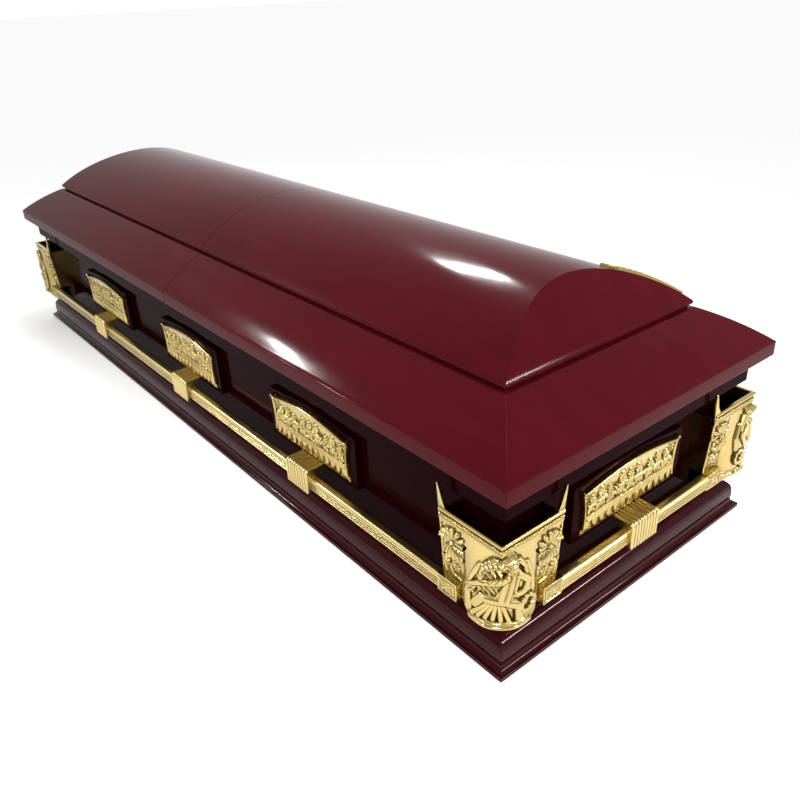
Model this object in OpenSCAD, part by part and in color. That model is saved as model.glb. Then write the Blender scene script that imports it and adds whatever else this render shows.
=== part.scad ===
// Funeral casket: hollow lacquered box under a two-part barrel lid, with gilt corner
// castings, lug plates and reeded carrying bars. Millimetres, +Z up, the floor at z = 0.

/* [Overall] */
// Length over the lid
casket_length = 2130; // [1700:10:2600]
// Width over the lid
casket_width = 690; // [560:5:840]

/* [Body] */
// How far the end walls stand in from the lid's edge
end_inset = 57; // [50:1:75]
// How far the side walls stand in from the lid's edge
side_inset = 52; // [47:1:70]
// Thickness of the body walls
wall = 20; // [14:1:28]
// Height of the base moulding
base_height = 70; // [60:1:84]
// Thickness of the bottom board
board_thickness = 18; // [12:1:24]
// Height of the body walls above the base moulding
wall_height = 240; // [225:5:290]
// Height of the rail that the lid rests on, above the walls' top
rail_cap = 25.5; // [16:0.5:40]
// How far the rail stands in from the lid's edge
rail_inset = 27; // [20:1:34]

/* [Lid] */
// Height of the lid's upright edge
fascia_height = 29.5; // [24:0.5:36]
// Rise of the lid's sloping rim above its upright edge
rim_rise = 64; // [52:1:74]
// Width of the sloping rim
rim_run = 105; // [88:1:112]
// Radius of the rim's gentle convex curve
rim_curve = 450; // [300:10:900]
// Rise of the barrel crown above the rim
crown_rise = 98; // [78:1:120]
// How far the crown's ends lean in at the top
end_lean = 101.5; // [70:0.5:130]
// Thickness of the lid's boards
lid_wall = 18; // [12:1:22]
// Where the lid is parted, from the middle
split_at = 1.6; // [-40:0.2:40]
// Width of the parting line
split_gap = 1.2; // [0.4:0.2:3]

/* [Lugs and bars] */
// Distance between neighbouring lugs on a side
lug_pitch = 519; // [440:1:600]
// Length of a lug plate
plate_length = 262; // [218:1:300]
// Height of a lug plate
plate_height = 91; // [80:1:110]
// Height of a lug plate's lower edge above the floor
plate_low = 152; // [148:1:164]
// Thickness of the block behind a lug plate
block_thickness = 14; // [10:1:17]
// Thickness of a lug plate
plate_thickness = 8; // [6:0.5:10]
// Width of a carrying bar's arm
arm_width = 72; // [60:1:86]
// Depth of a carrying bar
bar_depth = 20; // [16:0.5:24]
// Height of a carrying bar
bar_height = 26; // [21:0.5:31]
// Distance of a carrying bar's middle from the body
bar_out = 39; // [36:0.5:44]
// Height of a carrying bar's middle above the floor
bar_level = 118; // [115:1:121]

/* [Corner castings] */
// Length of each wing from the body's corner
wing_length = 90; // [76:1:106]
// Height of the casting's upper rim above the floor
rim_level = 260; // [235:1:261]
// How far the wings stand off the body at the upper rim
wing_top = 41; // [36:1:46]
// How far the wings stand off the body lower down
wing_low = 31; // [27:1:35]
// Thickness of the casting's walls
shell = 5; // [3:0.5:6]
// Radius of the rounded corner
dome_radius = 54; // [50:0.5:60]

/* [Hidden] */
lacquer = [0.20, 0.02, 0.035];
gilt = [0.83, 0.68, 0.34];
hx = casket_length / 2;
hy = casket_width / 2;
bx = hx - end_inset;
by = hy - side_inset;
wall_top = base_height + wall_height;
seat = wall_top + rail_cap;
rail_low = seat - 48.5;
cove_depth = min(end_inset, side_inset) - 7 - rail_inset;
fascia_top = seat + fascia_height;
rim_top = fascia_top + rim_rise;
crown_in = rim_run + 3.5;
cw = hy - crown_in;
spring = rim_top + 12;
barrel_rise = crown_rise - 12;
barrel_r = (cw * cw + barrel_rise * barrel_rise) / (2 * barrel_rise);
barrel_z = spring + barrel_rise - barrel_r;
plate_out = block_thickness + plate_thickness;
pl = plate_length / 2;
ph = plate_height;
bl = pl + 15;
bar_front_out = bar_out + bar_depth / 2;
arm_out = bar_front_out + 8;
cuff_low = bar_level - bar_height / 2 - 4;
cuff_high = bar_level + bar_height / 2 + 3;
cuff_out = bar_front_out + 3;
cuff_long = 44;
dome_at = -2;
dome_mid = base_height + dome_radius - 7;

// Points of an arc from angle a to angle b
function arc(cx, cz, r, a, b, n = 8) =
    [for (i = [0:n]) let (t = a + (b - a) * i / n) [cx + r * cos(t), cz + r * sin(t)]];

// Mitred solid whose upright outline is [inset, height] points on all four sides
module mitred(pts, ix = 0, iy = 0) {
    n = len(pts);
    intersection() {
        rotate([90, 0, 90])
            linear_extrude(height = 2 * hx + 60, center = true)
                polygon(concat([for (p = pts) [hy - iy - p[0], p[1]]],
                    [for (i = [n - 1:-1:0]) [p_neg(hy - iy, pts[i][0]), pts[i][1]]]));
        rotate([90, 0, 0])
            linear_extrude(height = 2 * hy + 60, center = true)
                polygon(concat([for (p = pts) [hx - ix - p[0], p[1]]],
                    [for (i = [n - 1:-1:0]) [p_neg(hx - ix, pts[i][0]), pts[i][1]]]));
    }
}
function p_neg(h, d) = -(h - d);

// Box centred on the footprint, from height a to height b
module slab(x, y, a, b) {
    translate([-x, -y, a]) cube([2 * x, 2 * y, b - a]);
}

// Base moulding: foot, hollow, upright face and a large rounded shoulder
module base_moulding() color(lacquer) difference() {
    mitred(concat([[10, 0], [7, 3], [7, 10.4]], arc(8, 21, 10.4, 270, 356, 6),
        [[19, 22], [18.4, 31], [19, 40]], arc(44, 41, 25, 176, 108, 9),
        [[38, base_height - 4.6], [38, base_height - 0.8], [39, base_height]]));
    slab(bx - wall - 25, by - wall - 25, -1, base_height + 1);
}

// Bottom board, inside the walls on the base moulding's ledge
module bottom_board() color(lacquer)
    slab(bx - wall, by - wall, base_height, base_height + board_thickness);

// Four walls, open above and below
module body_walls() color(lacquer) difference() {
    slab(bx, by, base_height, wall_top);
    slab(bx - wall, by - wall, base_height - 1, wall_top + 1);
}

// Rail with a cove under it, on top of the walls
module top_rail() color(lacquer) difference() {
    mitred(concat([[rail_inset + cove_depth, rail_low - 25], [rail_inset + cove_depth, rail_low - 19]],
        [for (t = [0:6]) [rail_inset + cove_depth * cos(15 * t), rail_low - 19 + 17 * sin(15 * t)]],
        [[rail_inset, rail_low], [rail_inset, seat]]));
    slab(bx, by, rail_low - 26, wall_top);
    slab(bx - wall, by - wall, wall_top - 1, seat + 1);
}

// Sloping rim of the lid, hollow below and open in the middle
module rim_whole() difference() {
    mitred(concat([[1.2, seat], [0, seat + 1.2]],
        arc(3.5, fascia_top - 3, 3.5, 180, 130, 4), rim_arc()));
    mitred([[rail_inset + wall, seat - 1], [rail_inset + wall, fascia_top - 14],
        [rim_run * 0.57, fascia_top + rim_rise * 0.2],
        [rim_run + 2, rim_top - 21], [rim_run + 41, rim_top - 18],
        [rim_run + 41, rim_top + 1]]);
}
// Slightly convex slope from the upright edge to the crown
function rim_arc(n = 16) =
    let (x0 = 2.2, z0 = fascia_top, dx = rim_run - 2.2, dz = rim_rise,
         c = sqrt(dx * dx + dz * dz), h = sqrt(rim_curve * rim_curve - c * c / 4),
         mx = x0 + dx / 2 + h * dz / c, mz = z0 + dz / 2 - h * dx / c,
         a = atan2(z0 - mz, x0 - mx), b = atan2(rim_top - mz, rim_run - mx))
    arc(mx, mz, rim_curve, a, b, n);

module head_half() intersection() {
    children();
    translate([split_at + split_gap / 2, -hy - 1, 0]) cube([hx * 2, 2 * hy + 2, rim_top + 400]);
}
module foot_half() intersection() {
    children();
    translate([split_at - split_gap / 2 - 2 * hx, -hy - 1, 0])
        cube([hx * 2, 2 * hy + 2, rim_top + 400]);
}
module lid_rim_head() color(lacquer) head_half() rim_whole();
module lid_rim_foot() color(lacquer) foot_half() rim_whole();

// How far the crown's end has leaned in at a share s of its rise
function lean(s) = end_lean * (0.624 * s + 0.376 * s * s);
function crown_end(inset, n = 12) = concat(
    [[hx - crown_in - 6 - inset, rim_top], [hx - crown_in - 6 - inset, rim_top + 5.5],
     [hx - crown_in - 1.5 - inset, rim_top + 5.5], [hx - crown_in - inset, rim_top + 7],
     [hx - crown_in - inset, spring - 2]],
    [for (i = [0:n]) [hx - crown_in - inset - 1 - lean(i / n), spring + barrel_rise * 1.05 * i / n]]);

// Barrel section drawn across the casket, less t on every side
module barrel_section(t = 0) {
    intersection() {
        translate([0, barrel_z]) circle(r = barrel_r - t, $fn = 180);
        translate([-hy, spring - 0.01]) square([2 * hy, 400]);
    }
}
module barrel(t = 0) {
    e = crown_end(t);
    n = len(e);
    intersection() {
        rotate([90, 0, 90]) linear_extrude(height = 2 * hx, center = true) {
            barrel_section(t);
            if (t == 0) {
                translate([-cw + 6, rim_top]) square([2 * cw - 12, 12]);
                polygon([[cw - 1.5, rim_top + 5.5], [cw, rim_top + 7], [cw, spring - 2],
                    [cw - 0.6, spring], [-cw + 0.6, spring], [-cw, spring - 2],
                    [-cw, rim_top + 7], [-cw + 1.5, rim_top + 5.5]]);
            }
            if (t > 0)
                translate([-cw + t + 2, rim_top - 1]) square([2 * (cw - t - 2), spring - rim_top + 2]);
        }
        rotate([90, 0, 0]) linear_extrude(height = 2 * hy, center = true)
            polygon(concat([[e[0][0], rim_top - (t > 0 ? 1 : 0)]], e,
                [for (i = [n - 1:-1:0]) [-e[i][0], e[i][1]]],
                [[-e[0][0], rim_top - (t > 0 ? 1 : 0)]]));
    }
}
module crown_whole() difference() {
    barrel(0);
    barrel(lid_wall);
}
module lid_crown_head() color(lacquer) head_half() crown_whole();
module lid_crown_foot() color(lacquer) foot_half() crown_whole();

// Gilt trim that follows the crown's head end on its far slope
module trim_slice(from, to) {
    e = crown_end(0);
    n = len(e);
    translate([from, 0, 0]) rotate([90, 0, 0]) linear_extrude(height = 2 * hy, center = true)
        polygon(concat([for (i = [4:n - 1]) e[i]],
            [for (i = [n - 1:-1:4]) [e[i][0] + to - from, e[i][1]]]));
}
module crown_trim() color(gilt) intersection() {
    trim_slice(-6, -44);
    rotate([90, 0, 90]) linear_extrude(height = 2 * hx, center = true) difference() {
        intersection() {
            translate([0, barrel_z]) circle(r = barrel_r + 6, $fn = 180);
            polygon([[0, barrel_z], [cw * 0.46 * 2, barrel_z + barrel_r * 1.83],
                [hy * 1.6, barrel_z + barrel_r * 2], [cw * 0.93 * 2, barrel_z + barrel_r * 1.58]]);
        }
        translate([0, barrel_z]) circle(r = barrel_r, $fn = 180);
    }
}

// Carrying bar's section, its outer side to the right
module bar_section() {
    r = 7;
    d = bar_depth / 2;
    h = bar_height / 2;
    difference() {
        union() {
            square([bar_depth, bar_height - 2 * r], center = true);
            square([bar_depth - 2 * r, bar_height], center = true);
            for (i = [-1, 1], j = [-1, 1])
                translate([i * (d - r), j * (h - r)]) circle(r = r, $fn = 32);
        }
        for (k = [-1:1]) translate([d + 0.4, k * 4.6]) circle(r = 1.5, $fn = 16);
        translate([d - r + 1.5, h + 0.2]) circle(r = 1.3, $fn = 16);
    }
}
// Bar along x, its middle at bar_out from the body's face, outwards along y
module bar_run(half) {
    translate([0, bar_out, bar_level]) rotate([90, 0, 90])
        linear_extrude(height = 2 * half, center = true) bar_section();
}
module on_front(x = 0) translate([x, -by, 0]) mirror([0, 1, 0]) children();
module on_back(x = 0) translate([x, by, 0]) children();
module on_head() translate([bx, 0, 0]) rotate([0, 0, -90]) children();
module on_foot() translate([-bx, 0, 0]) rotate([0, 0, 90]) children();
side_half = bx - wing_length + 8;
end_half = by - wing_length + 8;
module bar_front() color(gilt) on_front() bar_run(side_half);
module bar_back() color(gilt) on_back() bar_run(side_half);
module bar_head() color(gilt) on_head() bar_run(end_half);
module bar_foot() color(gilt) on_foot() bar_run(end_half);

// Upright outline with a low arch on top: half length, low edge, shoulder, top
function arched(l, low, shoulder, top, n = 14) = concat(
    [[-l, low], [l, low], [l, shoulder - 4], [l - 5, shoulder]],
    [for (i = [0:n]) let (t = 1 - 2 * i / n)
        [t * (l - 16), shoulder - 2 + (top - shoulder + 2) * cos(90 * t)]],
    [[-l + 5, shoulder], [-l, shoulder - 4]]);
// Lug plate's outline: pointed shoulders, hollow sides, low arch
function plate_outline(g = 0, n = 14) = concat(
    [[-pl + 5 + g, plate_low + g], [pl - 5 - g, plate_low + g]],
    [for (i = [1:5]) [pl - 5 - g - 5 * sin(180 * i / 6) + 5 * (i / 6) * (i / 6), plate_low + ph * i / 6]],
    [[pl - g, plate_low + ph - g], [pl - 8 - g, plate_low + ph - 4.5 - g]],
    [for (i = [0:n]) let (t = 1 - 2 * i / n)
        [t * (pl - 14), plate_low + ph - 4.5 - g + 13.5 * cos(90 * t)]],
    [[-pl + 8 + g, plate_low + ph - 4.5 - g], [-pl + g, plate_low + ph - g]],
    [for (i = [5:-1:1]) [-pl + 5 + g + 5 * sin(180 * i / 6) - 5 * (i / 6) * (i / 6),
        plate_low + ph * i / 6]]);

// Block behind a lug plate
module lug_block() translate([0, block_thickness, 0]) rotate([90, 0, 0])
    linear_extrude(height = block_thickness)
        polygon(arched(bl, plate_low - 9, plate_low + ph + 9, plate_low + ph + 17));

// Lug plate: field, arched rim, ledge and a row of scallops below it
module lug_plate() {
    t = plate_thickness;
    ledge = plate_low + ph * 0.34;
    translate([0, block_thickness + t - 4, 0]) rotate([90, 0, 0])
        linear_extrude(height = t - 4) polygon(plate_outline());
    translate([0, plate_out, 0]) rotate([90, 0, 0]) linear_extrude(height = t - 1) difference() {
        polygon(plate_outline());
        translate([0, -6]) polygon(plate_outline(6));
        translate([-pl, plate_low - 10]) square([2 * pl, 34]);
    }
    translate([-pl + 12, block_thickness + 1, ledge]) cube([2 * pl - 24, t - 1.6, 5]);
    n = 13;
    intersection() {
        for (i = [0:n - 1]) translate([(i - (n - 1) / 2) * (2 * pl - 38) / (n - 1),
                block_thickness + t - 6, plate_low + 3])
            cylinder(r = 5.4, h = ledge - plate_low - 1, $fn = 24);
        translate([-pl, block_thickness + 1.5, 0]) cube([2 * pl, 20, 400]);
    }
}

// Ribbed arm: comes out under the plate, over the bar and down in front of it
module arm_section(grow = 0) polygon([
    [block_thickness, plate_low - 9], [block_thickness, plate_low],
    [arm_out - 7, plate_low + grow - 1], [arm_out + grow - 2, plate_low + grow - 3],
    [arm_out + grow, plate_low - 7], [arm_out + grow, bar_level - bar_height / 2 - 4],
    [arm_out - 2, bar_level - bar_height / 2 - 6], [bar_front_out + 1, bar_level - bar_height / 2 - 6],
    [bar_front_out, bar_level - bar_height / 2], [bar_front_out, bar_level],
    [bar_out - bar_depth / 2 + 2, bar_level], [bar_out - bar_depth / 2 + 2, plate_low - 9]]);
module lug_arm() difference() {
    union() {
        rotate([90, 0, 90]) linear_extrude(height = arm_width, center = true) arm_section(-1.2);
        n = 9;
        for (i = [0:n - 1]) translate([(i - (n - 1) / 2) * (arm_width - 5) / (n - 1), 0, 0])
            rotate([90, 0, 90]) linear_extrude(height = 5, center = true) arm_section(0);
    }
    bar_run(arm_width);
}

module block_front_foot() color(lacquer) on_front(-lug_pitch) lug_block();
module block_front_mid() color(lacquer) on_front(0) lug_block();
module block_front_head() color(lacquer) on_front(lug_pitch) lug_block();
module block_back_foot() color(lacquer) on_back(-lug_pitch) lug_block();
module block_back_mid() color(lacquer) on_back(0) lug_block();
module block_back_head() color(lacquer) on_back(lug_pitch) lug_block();
module block_head() color(lacquer) on_head() lug_block();
module block_foot() color(lacquer) on_foot() lug_block();
module plate_front_foot() color(gilt) on_front(-lug_pitch) lug_plate();
module plate_front_mid() color(gilt) on_front(0) lug_plate();
module plate_front_head() color(gilt) on_front(lug_pitch) lug_plate();
module plate_back_foot() color(gilt) on_back(-lug_pitch) lug_plate();
module plate_back_mid() color(gilt) on_back(0) lug_plate();
module plate_back_head() color(gilt) on_back(lug_pitch) lug_plate();
module plate_head() color(gilt) on_head() lug_plate();
module plate_foot() color(gilt) on_foot() lug_plate();
module arm_front_foot() color(gilt) on_front(-lug_pitch) lug_arm();
module arm_front_mid() color(gilt) on_front(0) lug_arm();
module arm_front_head() color(gilt) on_front(lug_pitch) lug_arm();
module arm_back_foot() color(gilt) on_back(-lug_pitch) lug_arm();
module arm_back_mid() color(gilt) on_back(0) lug_arm();
module arm_back_head() color(gilt) on_back(lug_pitch) lug_arm();
module arm_head() color(gilt) on_head() lug_arm();
module arm_foot() color(gilt) on_foot() lug_arm();

// One wing of a corner casting along x, the body's corner at the origin, outwards along y
module wing_solid(t, open) rotate([90, 0, 90]) linear_extrude(height = wing_length + 25 - t)
    polygon([[open, cuff_low + t], [wing_low - t, cuff_low + t], [wing_low - t, cuff_high],
        [wing_top - t, rim_level - 20], [wing_top - t, rim_level + open * -9],
        [open, rim_level + open * -9]]);
module wing() difference() {
    union() {
        translate([-wing_length, 0, 0]) difference() {
            wing_solid(0, 0);
            translate([shell, 0, 0]) wing_solid(shell, -1);
        }
        // Cuff that holds the bar's end, with a carved panel on it
        translate([-wing_length, 8, cuff_low]) cube([cuff_long, cuff_out - 8, cuff_high - cuff_low]);
        translate([-wing_length + 4, cuff_out - 1, cuff_low + 4])
            cube([cuff_long - 8, 2.4, cuff_high - cuff_low - 8]);
        // Upturned ear at the wing's end
        translate([0, wing_top + 1, 0]) rotate([90, 0, 0]) linear_extrude(height = shell)
            polygon([[-wing_length, rim_level - 10], [-wing_length + 16, rim_level - 3],
                [-wing_length + 9, rim_level + 8], [-wing_length + 3, rim_level + 22],
                [-wing_length - 3, rim_level + 42], [-wing_length - 5, rim_level + 40],
                [-wing_length - 3, rim_level + 15]]);
        // Round boss
        translate([-wing_length + 26, wing_low + 1, cuff_high + 18]) sphere(r = 9, $fn = 32);
    }
    translate([-wing_length - 5, bar_out, bar_level]) rotate([90, 0, 90])
        linear_extrude(height = 13) bar_section();
}
// Square-cornered rim band over both wings
module rim_band(a, b, out) difference() {
    translate([-wing_length, -wing_length, a]) cube([wing_length + out, wing_length + out, b - a]);
    translate([-wing_length - 1, -wing_length - 1, a - 1])
        cube([wing_length + 1 + wing_top - shell, wing_length + 1 + wing_top - shell, b - a + 2]);
}
module dome(t) {
    translate([dome_at, dome_at, dome_mid]) cylinder(r = dome_radius - t, $fn = 72,
        h = rim_level - 20 - dome_mid + (t > 0 ? 60 : 0));
    translate([dome_at, dome_at, dome_mid]) sphere(r = dome_radius - t, $fn = 72);
}
module casting() difference() {
    union() {
        difference() {
            union() {
                wing();
                mirror([1, -1, 0]) wing();
                dome(0);
                for (z = [-12, -4]) translate([dome_at, dome_at, dome_mid + z - 1.5])
                    cylinder(r = dome_radius + 1, h = 3, $fn = 72);
            }
            dome(shell);
        }
        rim_band(rim_level - 21, rim_level - 7, wing_top + 1);
        rim_band(rim_level - 7, rim_level, wing_top + 3);
    }
    translate([-300, -300, 0]) cube([300, 300, 500]);
    translate([-300, -300, base_height - 100]) cube([500, 500, 100]);
}
module corner_head_front() color(gilt) translate([bx, -by, 0]) mirror([0, 1, 0]) casting();
module corner_head_back() color(gilt) translate([bx, by, 0]) casting();
module corner_foot_front() color(gilt) translate([-bx, -by, 0]) rotate([0, 0, 180]) casting();
module corner_foot_back() color(gilt) translate([-bx, by, 0]) mirror([1, 0, 0]) casting();

base_moulding();
bottom_board();
body_walls();
top_rail();
lid_rim_head();
lid_rim_foot();
lid_crown_head();
lid_crown_foot();
crown_trim();
corner_head_front();
corner_head_back();
corner_foot_front();
corner_foot_back();
bar_front();
bar_back();
bar_head();
bar_foot();
block_front_foot();
block_front_mid();
block_front_head();
block_back_foot();
block_back_mid();
block_back_head();
block_head();
block_foot();
plate_front_foot();
plate_front_mid();
plate_front_head();
plate_back_foot();
plate_back_mid();
plate_back_head();
plate_head();
plate_foot();
arm_front_foot();
arm_front_mid();
arm_front_head();
arm_back_foot();
arm_back_mid();
arm_back_head();
arm_head();
arm_foot();
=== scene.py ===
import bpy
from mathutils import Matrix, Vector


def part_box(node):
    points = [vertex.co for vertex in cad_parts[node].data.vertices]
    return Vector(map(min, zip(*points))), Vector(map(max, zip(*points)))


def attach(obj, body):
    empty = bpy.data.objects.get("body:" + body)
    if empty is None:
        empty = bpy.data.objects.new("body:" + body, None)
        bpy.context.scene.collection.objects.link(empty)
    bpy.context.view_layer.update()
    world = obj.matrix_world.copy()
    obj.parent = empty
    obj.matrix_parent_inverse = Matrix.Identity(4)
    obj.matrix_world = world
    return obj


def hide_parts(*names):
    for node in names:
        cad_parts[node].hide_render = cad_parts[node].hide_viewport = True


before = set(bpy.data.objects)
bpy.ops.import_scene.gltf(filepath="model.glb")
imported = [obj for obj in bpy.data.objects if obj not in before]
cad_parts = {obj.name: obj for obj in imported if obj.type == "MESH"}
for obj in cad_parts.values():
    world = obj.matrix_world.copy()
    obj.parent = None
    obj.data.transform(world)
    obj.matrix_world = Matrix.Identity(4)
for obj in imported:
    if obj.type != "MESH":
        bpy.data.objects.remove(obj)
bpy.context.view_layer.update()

import logging
import math
from collections.abc import Callable
from dataclasses import dataclass
from enum import Enum

import bmesh
import bpy
import numpy as np
from mathutils import Matrix, Vector

LOG = logging.getLogger("casket")
BODY = "root"
MM = 0.001
WELD = 0.01
ARRIS_ANGLE = 26.0
ARRIS_STEPS = 3
Points = np.ndarray
Pair = tuple[float, float]
Triple = tuple[float, float, float]
Colour = tuple[float, float, float, float]


# ---------------------------------------------------------------- measures

@dataclass(frozen=True)
class Carcass:
    """Leading sizes of the casket, in millimetres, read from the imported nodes.

    Args:
        lid_x: Half the lid's length.
        lid_y: Half the lid's width.
        body_x: Half the body's length.
        body_y: Half the body's width.
        base_top: Height of the base moulding.
        wall_top: Height of the walls' top.
        rail_low: Height of the rail's lower edge.
        seat: Height at which the lid rests.
        rim_top: Height of the sloping rim's top.
        crown_top: Height of the crown.
        split_head: Where the head half of the lid starts.
        split_foot: Where the foot half of the lid starts.
        crown_x: Half the crown's length at its foot.
        crown_y: Half the crown's width at its foot.
    """

    lid_x: float
    lid_y: float
    body_x: float
    body_y: float
    base_top: float
    wall_top: float
    rail_low: float
    seat: float
    rim_top: float
    crown_top: float
    split_head: float
    split_foot: float
    crown_x: float
    crown_y: float

    @classmethod
    def measured(cls) -> "Carcass":
        """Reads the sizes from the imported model.

        Returns:
            The casket's leading sizes.
        """
        rim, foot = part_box("lid_rim_head"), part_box("lid_rim_foot")
        wall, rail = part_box("body_walls"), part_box("top_rail")
        crown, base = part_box("lid_crown_head"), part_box("base_moulding")
        k = 1 / MM
        return cls(rim[1].x * k, rim[1].y * k, wall[1].x * k, wall[1].y * k, base[1].z * k,
                   wall[1].z * k, rail[0].z * k, rim[0].z * k, rim[1].z * k, crown[1].z * k,
                   rim[0].x * k, foot[1].x * k, crown[1].x * k, crown[1].y * k)


class Side(Enum):
    """A side of the body that carries lugs and a bar."""

    FRONT = "front"
    BACK = "back"
    HEAD = "head"
    FOOT = "foot"


@dataclass(frozen=True)
class Placement:
    """Where a fitting's own axes lie: along the face, outwards from it, and up.

    Args:
        origin: The fitting's middle on the body, in millimetres.
        along: Direction of the fitting's first axis.
        out: Direction of its second axis, outwards.
    """

    origin: Pair
    along: Pair
    out: Pair

    @property
    def mirrored(self) -> bool:
        """Whether the placement turns a shape into its mirror image."""
        return self.along[0] * self.out[1] - self.along[1] * self.out[0] < 0

    def apply(self, points: Points) -> Points:
        """Moves points from the fitting's axes to the casket's.

        Args:
            points: Points in the fitting's axes, in millimetres.

        Returns:
            The points in the casket's axes, in millimetres.
        """
        placed = points.copy()
        for axis in range(2):
            placed[..., axis] = (self.origin[axis] + points[..., 0] * self.along[axis]
                                 + points[..., 1] * self.out[axis])
        return placed

    @classmethod
    def on_side(cls, carcass: Carcass, side: Side, shift: float = 0.0) -> "Placement":
        """Places a fitting on the middle of a side, or shifted along it.

        Args:
            carcass: The casket's sizes.
            side: The side.
            shift: Distance along a long side from its middle.

        Returns:
            The placement.
        """
        return {
            Side.FRONT: cls((shift, -carcass.body_y), (1, 0), (0, -1)),
            Side.BACK: cls((shift, carcass.body_y), (1, 0), (0, 1)),
            Side.HEAD: cls((carcass.body_x, 0), (0, -1), (1, 0)),
            Side.FOOT: cls((-carcass.body_x, 0), (0, 1), (-1, 0)),
        }[side]

    @classmethod
    def at_corner(cls, carcass: Carcass, x: int, y: int) -> "Placement":
        """Places a fitting on a corner of the body, both its axes outwards.

        Args:
            carcass: The casket's sizes.
            x: 1 at the head, -1 at the foot.
            y: 1 at the back, -1 at the front.

        Returns:
            The placement.
        """
        return cls((x * carcass.body_x, y * carcass.body_y), (x, 0), (0, y))


HOME = Placement((0, 0), (1, 0), (0, 1))
LUG_PITCH = 519.0
LONG_SIDE = (("_foot", -LUG_PITCH), ("_mid", 0.0), ("_head", LUG_PITCH))
END = (("", 0.0),)
SIDE_PLACES = {Side.FRONT: LONG_SIDE, Side.BACK: LONG_SIDE, Side.HEAD: END, Side.FOOT: END}


def solid_box(name: str) -> tuple[Vector, Vector]:
    """Gives a node's lowest and highest corner.

    Args:
        name: The node.

    Returns:
        The two corners, in millimetres.
    """
    low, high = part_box(name)
    return low / MM, high / MM


def half_length(low: Vector, high: Vector) -> float:
    """Gives half the longer of a box's two level sides.

    Args:
        low: The box's lowest corner.
        high: Its highest corner.

    Returns:
        Half the length.
    """
    return max(high.x - low.x, high.y - low.y) / 2


def half_round(off: Points, half: float) -> Points:
    """Gives the height of a half-round moulding, from 0 to 1.

    Args:
        off: Distances from the moulding's middle.
        half: Half its width.

    Returns:
        The heights.
    """
    return np.sqrt(np.clip(1 - (off / half) ** 2, 0, 1))


def drawn_in(outline: Points, by: float) -> Points:
    """Draws an outline's points towards its middle.

    Args:
        outline: The outline.
        by: How far each point moves.

    Returns:
        The smaller outline.
    """
    middle = outline.mean(0)
    reach = np.linalg.norm(outline - middle, axis=1, keepdims=True)
    return middle + (outline - middle) * (1 - by / reach)


# ---------------------------------------------------------------- shader maths

class Shade:
    """A shader value or colour that writes its own Math nodes when it is used in a sum."""

    def __init__(self, bench: "Bench", socket: bpy.types.NodeSocket) -> None:
        """Wraps a socket.

        Args:
            bench: The material's node bench.
            socket: The output socket.
        """
        self.bench = bench
        self.socket = socket

    def _math(self, operation: str, other: object) -> "Shade":
        """Adds one Math node.

        Args:
            operation: The node's operation.
            other: Its second value.

        Returns:
            The node's result.
        """
        return self.bench.node("ShaderNodeMath", {"operation": operation}, {0: self, 1: other})

    def __add__(self, other: object) -> "Shade":
        """Adds a value."""
        return self._math("ADD", other)

    def __mul__(self, other: object) -> "Shade":
        """Multiplies by a value."""
        return self._math("MULTIPLY", other)

    def __sub__(self, other: object) -> "Shade":
        """Takes a value away."""
        return self._math("SUBTRACT", other)


class Bench:
    """A material's nodes, added through one method."""

    def __init__(self, name: str) -> None:
        """Starts a material.

        Args:
            name: The material's name.
        """
        self.material = bpy.data.materials.new(name)
        self.material.use_nodes = True
        self.tree = self.material.node_tree
        self.tree.nodes.clear()

    def node(self, kind: str, settings: dict[str, object], values: dict[object, object],
             output: object = 0) -> Shade:
        """Adds a node.

        Args:
            kind: The node's type.
            settings: Its own settings, set first.
            values: Its sockets' values or links, by name or place.
            output: The output socket's name or place.

        Returns:
            The output as a value that can be used in sums.
        """
        made = self.tree.nodes.new(kind)
        for key, value in settings.items():
            setattr(made, key, value)
        for key, value in values.items():
            socket = made.inputs[key]
            if isinstance(value, Shade):
                self.tree.links.new(value.socket, socket)
            else:
                socket.default_value = value
        return Shade(self, made.outputs[output])

    def spot(self, scale: Triple) -> Shade:
        """Gives the piece's own coordinates, stretched.

        Args:
            scale: The stretch along each axis.

        Returns:
            The coordinates.
        """
        place = self.node("ShaderNodeTexCoord", {}, {}, "Object")
        return self.node("ShaderNodeMapping", {}, {"Vector": place, "Scale": scale})

    def noise(self, scale: float, detail: float, stretch: Triple = (1, 1, 1),
              roughness: float = 0.5) -> Shade:
        """Gives a noise value from 0 to 1 over the piece.

        Args:
            scale: How fine the noise is.
            detail: How many layers it has.
            stretch: Its stretch along each axis.
            roughness: How strong the finer layers are.

        Returns:
            The noise.
        """
        return self.node("ShaderNodeTexNoise", {}, {
            "Vector": self.spot(stretch), "Scale": scale, "Detail": detail,
            "Roughness": roughness})

    def blend(self, share: object, first: object, second: object) -> Shade:
        """Mixes two colours.

        Args:
            share: How much of the second colour there is.
            first: The first colour.
            second: The second colour.

        Returns:
            The mixed colour.
        """
        return self.node("ShaderNodeMix", {"data_type": "RGBA"}, {0: share, 6: first, 7: second}, 2)

    def bump(self, height: Shade, strength: float, distance: float) -> Shade:
        """Turns a height into a normal.

        Args:
            height: The height.
            strength: How strong the bump is.
            distance: Its depth in metres.

        Returns:
            The normal.
        """
        return self.node("ShaderNodeBump", {}, {
            "Height": height, "Strength": strength, "Distance": distance})

    def finish(self, values: dict[object, object]) -> bpy.types.Material:
        """Ends the material in a surface shader.

        Args:
            values: The shader's values and links.

        Returns:
            The material.
        """
        surface = self.node("ShaderNodeBsdfPrincipled", {}, values)
        end = self.tree.nodes.new("ShaderNodeOutputMaterial")
        self.tree.links.new(surface.socket, end.inputs[0])
        return self.material


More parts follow.
